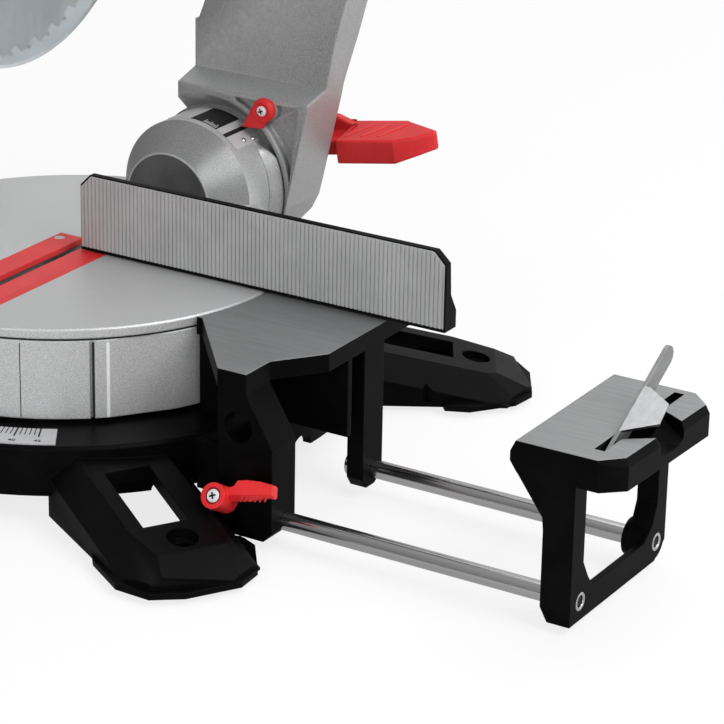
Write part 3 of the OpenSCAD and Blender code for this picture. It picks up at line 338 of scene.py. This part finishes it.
def put(name, bm, mat, body, smooth=35):
    """Makes a piece of the mesh, smooth up to the angle given, and lets it ride on the body."""
    me = bpy.data.meshes.new(name)
    bm.normal_update()
    bm.to_mesh(me)
    bm.free()
    me.polygons.foreach_set("use_smooth", [True] * len(me.polygons))
    me.set_sharp_from_angle(angle=math.radians(smooth))
    ob = bpy.data.objects.new(name, me)
    scene.collection.objects.link(ob)
    me.materials.append(M[mat])
    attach(ob, body)
    return ob


def round_edges(ob, width, seg=3, angle=EDGE_ANGLE):
    """Rounds the edges that bend by more than the angle."""
    mod = ob.modifiers.new("rounding", "BEVEL")
    mod.width = width
    mod.segments = seg
    mod.limit_method = "ANGLE"
    mod.angle_limit = math.radians(angle)
    mod.miter_outer = "MITER_ARC"
    ob.modifiers.new("normals", "WEIGHTED_NORMAL").keep_sharp = True
    return mod


def soften(node, mat, width, angle=EDGE_ANGLE, open_width=False):
    """The node's own solid with its edges rounded to the radius that the casting or moulding has."""
    bm = bmesh.new()
    bm.from_mesh(frame["nodes"][node].data)
    bmesh.ops.remove_doubles(bm, verts=bm.verts, dist=3e-6)
    bmesh.ops.dissolve_limit(bm, angle_limit=math.radians(0.6), verts=bm.verts, edges=bm.edges)
    ob = put(node + "_form", bm, mat, BODY[node], smooth=EDGE_ANGLE)
    mod = round_edges(ob, width, angle=angle)
    mod.use_clamp_overlap = not open_width
    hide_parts(node)
    return ob


def dress(node, mat):
    """Keeps the node's own mesh and gives it a finish."""
    ob = frame["nodes"][node]
    ob.data.materials.clear()
    ob.data.materials.append(M[mat])


def add_box(bm, m, sx, sy, sz):
    bmesh.ops.create_cube(bm, size=1, matrix=m @ Matrix.Diagonal((sx, sy, sz, 1)))


def add_cyl(bm, m, r, h, seg=32, r2=None):
    end = r if r2 is None else r2
    bmesh.ops.create_cone(bm, cap_ends=True, segments=seg, radius1=r, radius2=end, depth=h, matrix=m)


def close_rows(bm, rows):
    """Skins a row of equal loops to a closed solid; a first loop that is also the last makes a ring."""
    n = len(rows[0])
    for a, b in zip(rows, rows[1:]):
        for k in range(n):
            bm.faces.new((a[k], b[k], b[(k + 1) % n], a[(k + 1) % n]))
    if rows[0] is not rows[-1]:
        bm.faces.new(rows[0])
        bm.faces.new(list(reversed(rows[-1])))
    bmesh.ops.recalc_face_normals(bm, faces=bm.faces)


def at(x, y, z):
    return Matrix.Translation((x, y, z))


def turn(deg, axis):
    return Matrix.Rotation(math.radians(deg), 4, axis)


ALONG_X = turn(90, "Y")
ALONG_Y = turn(90, "X")

add_camera()

# Nodes rounded from another angle than EDGE_ANGLE, and whether the width is kept where edges lie close
EDGE_LIMITS = {"bevel_lever": (32, True), "right_end_frame": (40, False), "left_end_frame": (40, False)}

# Castings, mouldings and bolts, with the rounding that each shows
for node, mat, width in (
        ("base_casting", "black", 0.0016), ("right_wing", "black_top", 0.0016), ("left_wing", "black_top", 0.0016),
        ("right_end_frame", "black_top", 0.0014), ("left_end_frame", "black_top", 0.0014),
        ("right_fence", "black", 0.0008), ("left_fence", "black", 0.0008),
        ("turntable", "table", 0.0012), ("bevel_arm", "silver", 0.0030), ("hinge_bracket", "silver", 0.003),
        ("upper_guard", "silver", 0.002), ("belt_case", "silver", 0.003), ("belt_cover", "plastic", 0.002),
        ("motor_housing", "plastic", 0.002), ("motor_end_cap", "plastic", 0.0015), ("handle", "plastic", 0.006),
        ("dust_spout", "plastic", 0.001), ("rail_end_cap", "plastic", 0.003), ("mitre_knob", "plastic", 0.002),
        ("rail_lock_knob", "plastic", 0.0015), ("bevel_lever", "red", 0.0016), ("bevel_pointer", "red", 0.0012),
        ("right_clamp_lever", "red", 0.0012), ("left_clamp_lever", "red", 0.0012), ("trigger", "red", 0.0015),
        ("lock_off_button", "red", 0.001), ("spindle_lock", "red", 0.001), ("left_insert", "red", 0.0005),
        ("right_insert", "red", 0.0005), ("right_flip_stop", "sheet", 0.0006),
        ("left_flip_stop", "sheet", 0.0006), ("right_rods", "rod", 0.0006), ("left_rods", "rod", 0.0006),
        ("rubber_feet", "rubber", 0.001), ("cord_gland", "rubber", 0.001), ("fence_bolts", "bolt", 0.0006),
        ("wing_bolts", "bolt", 0.0006), ("clamp_studs", "bolt", 0.0006), ("hinge_pin", "bolt", 0.001),
        ("pivot_bolt", "bolt", 0.001), ("bevel_bolt", "bolt", 0.001), ("blade_bolt", "bolt", 0.0007),
        ("blade_flanges", "bolt", 0.0008)):
    soften(node, mat, width, *EDGE_LIMITS.get(node, ()))

# Turned, ground and inner pieces keep their edges
for node, mat in (
        ("mitre_scale", "plate"), ("bevel_scale", "plate"), ("slide_rails", "rail"), ("mitre_stud", "bolt"),
        ("insert_screws", "bolt"), ("mitre_pointer", "red"), ("saw_blade", "blade"), ("arbor", "bolt"),
        ("arbor_bearings", "bolt"), ("armature", "bolt"), ("motor_stator", "bolt"), ("drive_belt", "rubber"),
        ("rail_bushes", "brass"), ("lower_guard", "clear")):
    dress(node, mat)


# Ribbed faces of the fences, close below their black top edges
FENCE_X, FENCE_H, CORNER = 0.292, 0.054, 0.008
RIB_PITCH, RIB_CREST, RIB_GROOVE = 0.0031, -0.0010, -0.0001
RIB_SHAPE = ((0, RIB_CREST), (0.56, RIB_CREST), (0.68, RIB_GROOVE), (0.88, RIB_GROOVE))


def fence_ribs(name, foot, top, sign):
    """Ribs from the fence's inner end, which slopes from foot to top, to its outer corner."""
    margin = 0.0012
    x0, x1 = foot + margin, FENCE_X - margin
    z0, z1 = TABLE + 0.003, TABLE + FENCE_H - 0.0008
    n = round((x1 - x0) / RIB_PITCH)
    profile = [(i + k, y) for i in range(n) for k, y in RIB_SHAPE]
    bm = bmesh.new()
    rows = []
    for step, y in profile + [(n, RIB_CREST)]:
        x = x0 + (x1 - x0) * step / n
        zt = min(z1, z1 - (x - (x1 - CORNER)), z1 - CORNER + (x - top - margin))
        if x < top + margin:
            zt = z0 + (z1 - CORNER - z0) * (x - x0) / (top + margin - x0)
        zt = max(zt, z0 + 0.0005)
        rows.append([bm.verts.new((sign * x, yy, z)) for yy, z in
                     ((0.0002, z0), (y, z0), (y, zt), (0.0002, zt))])
    close_rows(bm, rows)
    put(name, bm, "rib", "base", smooth=10)


fence_ribs("right_fence_ribs", 0.010, 0.010, 1)
fence_ribs("left_fence_ribs", 0.062, 0.116, -1)


# Mitre scale: a mark for each degree, and numbers at every fifth mark
SCALE_TOP = 0.053
SCALE_ZERO = -15  # degrees from the nose to the mitre pointer


def number_mesh(bm, text, size, m):
    """Adds a number, as a thin raised mesh."""
    cu = bpy.data.curves.new("number", "FONT")
    cu.body = text
    cu.size = size
    cu.align_x = "CENTER"
    cu.extrude = 0.00006
    ob = bpy.data.objects.new("number", cu)
    scene.collection.objects.link(ob)
    bpy.context.view_layer.update()
    me = bpy.data.meshes.new_from_object(ob.evaluated_get(bpy.context.evaluated_depsgraph_get()))
    me.transform(m)
    bm.from_mesh(me)
    bpy.data.meshes.remove(me)
    bpy.data.objects.remove(ob)
    bpy.data.curves.remove(cu)


def mitre_marks():
    bm = bmesh.new()
    for n in range(-45, 46):
        l, w = (0.0130, 0.0010) if n % 5 == 0 else (0.0098, 0.00055)
        add_box(bm, turn(n + SCALE_ZERO, "Z") @ at(0, -0.1672 - l / 2, SCALE_TOP + 0.00005), w, l, 0.0003)
    put("mitre_scale_marks", bm, "ink_and_shade", "base")
    bm = bmesh.new()
    for n in range(-45, 46, 5):
        m = turn(n + SCALE_ZERO, "Z") @ at(0, -0.1882, SCALE_TOP + 0.00012)
        number_mesh(bm, str(abs(n)), 0.0048, m)
    put("mitre_scale_numbers", bm, "ink_and_shade", "base")


mitre_marks()


# Bevel drum: labels, a riveted cover strip and white marks on its rim
DRUM = 0.0536
LABEL_Y = (0.1447, 0.1742)


def on_drum(deg, y, r=DRUM):
    """A place on the drum, deg from its top, with the local Z outwards."""
    return at(0, y, TABLE) @ turn(deg, "Y") @ at(0, 0, r)


def drum_patch(name, a0, a1, y0, y1, lift, mat):
    """A thin curved plate on the drum, from angle a0 to a1."""
    bm = bmesh.new()
    rows = []
    for i in range(13):
        a = a0 + (a1 - a0) * i / 12
        rows.append([bm.verts.new((on_drum(a, y, r) @ Vector((0, 0, 0)))) for y, r in
                     ((y0, DRUM - 0.0002), (y0, DRUM + lift), (y1, DRUM + lift), (y1, DRUM - 0.0002))])
    close_rows(bm, rows)
    put(name, bm, mat, "turntable")


def bevel_labels():
    for name, a0, a1, lift, mat in (
            ("pale", -20.5, -0.3, 0.0001, "plate"), ("dark", 0, 23.5, 0.0002, "ink_and_shade"),
            ("grey", 23.8, 30, 0.0001, "plate"), ("edge", 30.3, 33.8, 0.0003, "ink_and_shade"),
            ("cover", 34, 46.3, 0.0005, "plate")):
        drum_patch("bevel_label_" + name, a0, a1, *LABEL_Y, lift, mat)
    white = bmesh.new()
    for n in range(12):
        l = 0.0060 if n % 5 == 0 else 0.0038
        m = on_drum(11 + n, LABEL_Y[0] + l / 2 + 0.0006, DRUM + 0.0002)
        add_box(white, m, 0.0003, l, 0.0003)
    put("bevel_label_marks", white, "white", "turntable")
    bm = bmesh.new()
    for a, y in ((41.8, 0.1578), (43.2, 0.1678)):
        m = on_drum(a, y, DRUM + 0.0004)
        add_cyl(bm, m @ at(0, 0, 0.0004), 0.0018, 0.0008, 24)
        add_cyl(bm, m @ at(0, 0, 0.00105), 0.0017, 0.0006, 24, 0.0009)
    put("bevel_cover_rivets", bm, "bolt", "turntable")


bevel_labels()


# Flared collar of the drum, in the arm's conical recess, below the labels
def drum_collar():
    profile = ((0.1655, 0.0530), (0.1660, 0.0536), (0.1706, 0.0618),
               (0.1714, 0.0614), (0.1792, 0.0548), (0.1792, 0.0528))
    start, sweep, inner, steps, fade = 47, 130, 0.0528, 100, 14
    bm = bmesh.new()
    rows = []
    for i in range(steps + 1):
        k = min(1, i / fade, (steps - i) / fade)
        k = max(k * k * (3 - 2 * k), 0.05)
        a = start + sweep * i / steps
        rows.append([bm.verts.new(on_drum(a, y, inner + (r - inner) * k) @ Vector((0, 0, 0))) for y, r in profile])
    close_rows(bm, rows)
    put("drum_collar", bm, "table", "turntable")


drum_collar()


# Screws: a domed head with a cross recess, looking along the local Z
def cross_screw(bm_head, bm_slot, m, r, h):
    add_cyl(bm_head, m @ at(0, 0, h * 0.3), r, h * 0.6, 28)
    add_cyl(bm_head, m @ at(0, 0, h * 0.8), r, h * 0.4, 28, r * 0.72)
    # Dark boxes over the cross recess: painted shade inside it.
    for k in (0, 90):
        add_box(bm_slot, m @ turn(k + 20, "Z") @ at(0, 0, h * 0.98), r * 1.15, r * 0.3, h * 0.12)


def screw_set(name, places, r, h, body):
    """Screws at the given places: one piece of heads in a pale colour that paints their highlight, one of dark
    boxes that paint the shade in their recesses.
    """
    head, slot = bmesh.new(), bmesh.new()
    for m in places:
        cross_screw(head, slot, m, r, h)
    put(name, head, "bright", body)
    put(name + "_recess_shade", slot, "ink_and_shade", body)


POINTER = at(0.0477, 0.1634, TABLE + 0.0625) @ ALONG_Y
screw_set("bevel_pointer_screw", [POINTER], 0.0036, 0.0022, "bevel")


def ring_mesh(bm, m, r, thick, seg=48, sides=10):
    """A round bead of radius thick on a circle of radius r."""
    rows = []
    for i in range(seg):
        t = m @ turn(360 * i / seg, "Z") @ at(r, 0, 0)
        rows.append([bm.verts.new(t @ Vector((thick * math.cos(a), 0, thick * math.sin(a))))
                     for a in (2 * math.pi * k / sides for k in range(sides))])
    close_rows(bm, rows + rows[:1])


# Rim round the bevel pointer's screw, and the pivot cap on the drum's front: a dark grey disc in a rounded rim
# whose paler colour is a painted highlight
def bevel_rims():
    bm = bmesh.new()
    ring_mesh(bm, POINTER, 0.0064, 0.0009)
    put("bevel_pointer_rim", bm, "red", "bevel", smooth=60)
    bm = bmesh.new()
    add_cyl(bm, at(0, 0.1159, TABLE) @ ALONG_Y, 0.0340, 0.0008, 96, 0.0336)
    put("pivot_cap", bm, "disc", "turntable")
    bm = bmesh.new()
    # A rounded bead paler than the cap: painted highlight on the cap's edge.
    ring_mesh(bm, at(0, 0.1162, TABLE) @ ALONG_Y, 0.0344, 0.0008, 120)
    put("pivot_cap_rim_highlight", bm, "rib", "turntable", smooth=60)


bevel_rims()


# Clamps lean forwards: screw heads in the pale colour of painted highlight, dark bars in their cross recess and
# dark plugs in the rods' hollow ends, as painted shade
CLAMP, CLAMP_LEAN = (0.2167, -0.149, 0.0415), 60
ROD_END, ROD_Y, ROD_Z = 0.4475, (-0.112, -0.012), 0.018


def at_clamp(s):
    """Face of the clamp's screw, on the right for s = 1 and mirrored to the left for s = -1."""
    flip = Matrix.Diagonal((s, 1, 1, 1))
    return flip @ at(*CLAMP) @ turn(CLAMP_LEAN, "X")


def sockets():
    head, dark = bmesh.new(), bmesh.new()
    for s in (1, -1):
        m = at_clamp(s)
        add_cyl(head, m @ at(0, 0, -0.0002), 0.0043, 0.0008, 32, 0.0037)
        # Dark bars in the cross recess: painted shade.
        for k in (25, 115):
            add_box(dark, m @ turn(k, "Z") @ at(0, 0, 0.0003), 0.0044, 0.0011, 0.0003)
    bmesh.ops.recalc_face_normals(head, faces=head.faces)
    bmesh.ops.recalc_face_normals(dark, faces=dark.faces)
    put("clamp_screw_faces", head, "bright", "base")
    put("clamp_screw_socket_shade", dark, "ink_and_shade", "base")
    for side, s in (("right", 1), ("left", -1)):
        # Dark plugs in the rods' hollow ends: painted shade.
        bm = bmesh.new()
        for y in ROD_Y:
            add_cyl(bm, at(s * ROD_END, y, ROD_Z) @ ALONG_X, 0.0037, 0.0066, 6)
        put(side + "_rod_socket_shade", bm, "ink_and_shade", side + "_support")


sockets()


# Bevel lever: three slanting finger ribs on the grip's sloping top
def lever_ribs():
    slope = at(0, 0, TABLE) @ turn(-10, "Y")
    tilt = math.degrees(math.atan2(7.5, 32.4))  # rise and depth of the grip's top
    bm = bmesh.new()
    for u in (0.084, 0.098, 0.112):
        m = slope @ at(u, 0.2432, 0.0193) @ turn(tilt, "X") @ turn(-38, "Z")
        add_box(bm, m, 0.0024, 0.024, 0.0012)
    ob = put("bevel_lever_ribs", bm, "red", "bevel_lock")
    round_edges(ob, 0.0005, 2)


lever_ribs()


# Clamp levers: slanting grip ribs on the paddle's lower flank
def clamp_ribs(side, s):
    flank = at_clamp(s) @ at(0.0091, 0.0032, -0.004) @ turn(13.2, "Z") @ turn(-34, "X")
    bm = bmesh.new()
    for k in range(6):
        m = flank @ at(0.007 + 0.0034 * k, 0, -0.0034) @ turn(38, "Y")
        add_box(bm, m, 0.0010, 0.0011, 0.0058)
    bmesh.ops.recalc_face_normals(bm, faces=bm.faces)
    put(side + "_clamp_ribs", bm, "red", side + "_clamp")


clamp_ribs("right", 1)
clamp_ribs("left", -1)


# Turntable skirt: fine parting lines; dark strips in the grooves and a dark line below the rim, as painted shade;
# and a rounded ridge beside each facet in a pale colour, as painted highlight
SKIRT_Z, SKIRT_H = 0.0808, 0.0505


def skirt_seams():
    bm, ridge = bmesh.new(), bmesh.new()
    for s in (1, -1):
        for a in (24.8, 100):
            add_box(bm, turn(s * a, "Z") @ at(0, -0.1559, SKIRT_Z), 0.0005, 0.0005, SKIRT_H)
        # Dark strip in the groove beside each facet: painted shade.
        add_box(bm, turn(s * 41.9, "Z") @ at(0, -0.1552, SKIRT_Z), 0.0016, 0.0012, SKIRT_H)
        # Rounded ridge in the pale highlight colour: painted highlight.
        add_cyl(ridge, turn(s * 45.3, "Z") @ at(0, -0.1552, SKIRT_Z), 0.0014, SKIRT_H, 20)
    # Dark line below the rim: painted shadow.
    ring_mesh(bm, at(0, 0, 0.10875), 0.1553, 0.0006, 180)
    put("skirt_seams", bm, "ink_and_shade", "turntable")
    put("skirt_ridge_highlights", ridge, "bright", "turntable")


skirt_seams()


# Head: fins and brush caps on the motor, screws on the covers, rubber on the handle, carbide on the blade
ARBOR = Vector((0, -0.054477, 0.390438))
MOTOR = Vector((0, -0.008477, 0.470112))
GRIP, GRIP_TILT = Vector((0, -0.187457, 0.505426)), 16.1


def on_motor(x, deg, r):
    """A place at radius r round the motor's axis, with the local Z outwards."""
    return at(x, MOTOR.y, MOTOR.z) @ turn(deg, "X") @ at(0, 0, r)


def motor_detail():
    bm = bmesh.new()
    for deg in range(0, 360, 10):
        if 75 < deg < 115:  # a plain strip runs along the motor's front
            continue
        m = on_motor(0.113, deg, 0.0505)
        add_box(bm, m, 0.076, 0.0022, 0.002)
    ob = put("motor_fins", bm, "plastic", "head")
    round_edges(ob, 0.0006, 2)
    bm, slot = bmesh.new(), bmesh.new()
    for deg in (0, 180):
        m = on_motor(0.148, deg, 0.050)
        add_cyl(bm, m @ at(0, 0, 0.001), 0.0085, 0.004, 32, 0.008)
        # Dark bar in each cap's slot: painted shade.
        add_box(slot, m @ at(0, 0, 0.003), 0.010, 0.0016, 0.0006)
    put("brush_caps", bm, "plastic", "head")
    put("brush_cap_slot_shade", slot, "ink_and_shade", "head")
    places = [on_motor(0.192, deg, 0.040) @ ALONG_X for deg in (45, 135, 225, 315)]
    screw_set("motor_cap_screws", places, 0.0036, 0.002, "head")
    d = (MOTOR - ARBOR).normalized()
    n = Vector((0, -d.z, d.y))
    places = []
    for t, s in ((-0.2, 1), (-0.2, -1), (0.45, 1), (0.45, -1)):
        c = ARBOR + (MOTOR - ARBOR) * t + n * s * (0.031 if t > 0 else 0.026)
        places.append(at(0.066, c.y, c.z) @ ALONG_X)
    screw_set("belt_cover_screws", places, 0.0034, 0.002, "head")


motor_detail()


def handle_pads():
    g = at(*GRIP) @ turn(GRIP_TILT, "X")
    bm = bmesh.new()
    for s in (-1, 1):
        for k in range(-3, 4):
            add_box(bm, g @ at(s * 0.0149, 0.012 * k, 0.0235) @ turn(20, "X"), 0.0016, 0.0034, 0.011)
    ob = put("handle_pads", bm, "grip", "head")
    round_edges(ob, 0.0006, 2)


handle_pads()


def blade_tips():
    teeth, lead, tip_r = 40, 0.72, 0.1253
    bm = bmesh.new()
    for i in range(teeth):
        m = at(*ARBOR) @ turn((i + lead) * 360 / teeth, "X") @ at(0, -tip_r, 0)
        add_box(bm, m @ at(0, 0, 0.0012), 0.0030, 0.0030, 0.0020)
    put("blade_tips", bm, "tip", "blade")


blade_tips()


def knob_caps():
    bm = bmesh.new()
    add_cyl(bm, at(0, -0.3724, 0.086) @ ALONG_Y, 0.012, 0.0012, 40, 0.0128)
    put("mitre_knob_cap", bm, "red", "mitre_lock")
    bm = bmesh.new()
    add_cyl(bm, at(0.1405, 0.2154, 0.374) @ ALONG_X, 0.008, 0.0012, 32)
    put("rail_lock_cap", bm, "red", "rail_lock")


knob_caps()


# Floor, light and background
FLOOR_HALF = 6
FLOOR_WHITE = 0.8  # share of the floor that shows as plain white; the rest takes the object's shadow


def add_floor():
    bm = bmesh.new()
    bmesh.ops.create_grid(bm, x_segments=1, y_segments=1, size=FLOOR_HALF)
    me = bpy.data.meshes.new("floor")
    bm.to_mesh(me)
    bm.free()
    floor = bpy.data.objects.new("floor", me)
    scene.collection.objects.link(floor)
    mat, nt, b = new_mat("pale_floor")
    b.inputs["Base Color"].default_value = (0.8, 0.8, 0.8, 1)
    b.inputs["Roughness"].default_value = 0.9
    lp = nt.nodes.new("ShaderNodeLightPath")
    seen = math_node(nt, "MAXIMUM", lp.outputs["Is Camera Ray"], lp.outputs["Is Transmission Ray"])
    pos = nt.nodes.new("ShaderNodeSeparateXYZ")
    nt.links.new(coords(nt, (0.5, 0.5, 0)), pos.inputs[0])
    # Glossy rays see the floor glow dim at the front and left and full white at the back and right: a painted
    # reflection of a studio that is brighter there. Camera and transmission rays see it plain white.
    level = math_node(nt, "ADD", math_node(nt, "ADD", pos.outputs["X"], pos.outputs["Y"]), 0.35)
    level = math_node(nt, "MINIMUM", math_node(nt, "MAXIMUM", level, 0.06), 1.0)
    em = nt.nodes.new("ShaderNodeEmission")
    em.inputs["Color"].default_value = (1, 1, 1, 1)
    nt.links.new(math_node(nt, "MAXIMUM", seen, level), em.inputs["Strength"])
    mx = nt.nodes.new("ShaderNodeMixShader")
    ray = math_node(nt, "MAXIMUM", seen, lp.outputs["Is Glossy Ray"])
    nt.links.new(math_node(nt, "MULTIPLY", ray, FLOOR_WHITE), mx.inputs[0])
    nt.links.new(b.outputs[0], mx.inputs[1])
    nt.links.new(em.outputs[0], mx.inputs[2])
    nt.links.new(mx.outputs[0], nt.nodes["Material Output"].inputs["Surface"])
    me.materials.append(mat)


# The studio is white to the eye, and metal mirrors it as bright on the right, behind and above, dimmer elsewhere
def add_world():
    world = bpy.data.worlds.new("studio")
    scene.world = world
    world.use_nodes = True
    wt = world.node_tree
    bg = wt.nodes["Background"]
    bg.inputs["Color"].default_value = (1, 1, 1, 1)
    bg.inputs["Strength"].default_value = 0.4
    tc = wt.nodes.new("ShaderNodeTexCoord")
    sep = wt.nodes.new("ShaderNodeSeparateXYZ")
    wt.links.new(tc.outputs["Generated"], sep.inputs[0])
    level = 0.14
    for axis, k in (("X", 0.50), ("Y", 0.50), ("Z", 0.35)):
        part = math_node(wt, "MULTIPLY", math_node(wt, "MAXIMUM", sep.outputs[axis], 0.0), k)
        level = math_node(wt, "ADD", part, level)
    lp = wt.nodes.new("ShaderNodeLightPath")
    seen = math_node(wt, "MAXIMUM", lp.outputs["Is Camera Ray"], lp.outputs["Is Transmission Ray"])
    white = wt.nodes.new("ShaderNodeBackground")
    white.inputs["Color"].default_value = (1, 1, 1, 1)
    wt.links.new(math_node(wt, "MAXIMUM", seen, level), white.inputs["Strength"])
    mx = wt.nodes.new("ShaderNodeMixShader")
    wt.links.new(math_node(wt, "MAXIMUM", seen, lp.outputs["Is Glossy Ray"]), mx.inputs[0])
    wt.links.new(bg.outputs[0], mx.inputs[1])
    wt.links.new(white.outputs[0], mx.inputs[2])
    wt.links.new(mx.outputs[0], wt.nodes["World Output"].inputs["Surface"])


def add_lamp(name, loc, aim, size, power):
    data = bpy.data.lights.new(name, "AREA")
    data.size = size
    data.energy = power
    ob = bpy.data.objects.new(name, data)
    ob.location = loc
    ob.rotation_euler = (Vector(aim) - Vector(loc)).to_track_quat("-Z", "Y").to_euler()
    scene.collection.objects.link(ob)


add_floor()
add_world()
add_lamp("key", (2.2, -0.3, 2.1), (0.1, 0, 0.1), 1.6, 58)
add_lamp("top", (0.4, 1.2, 2.8), (0.1, 0, 0.1), 2.4, 36)
add_lamp("front", (0.5, -2.7, 0.6), (0.1, 0, 0.1), 1.5, 30)
add_lamp("back", (0.5, 2.7, 1.6), (0.1, 0, 0.2), 2.4, 12)
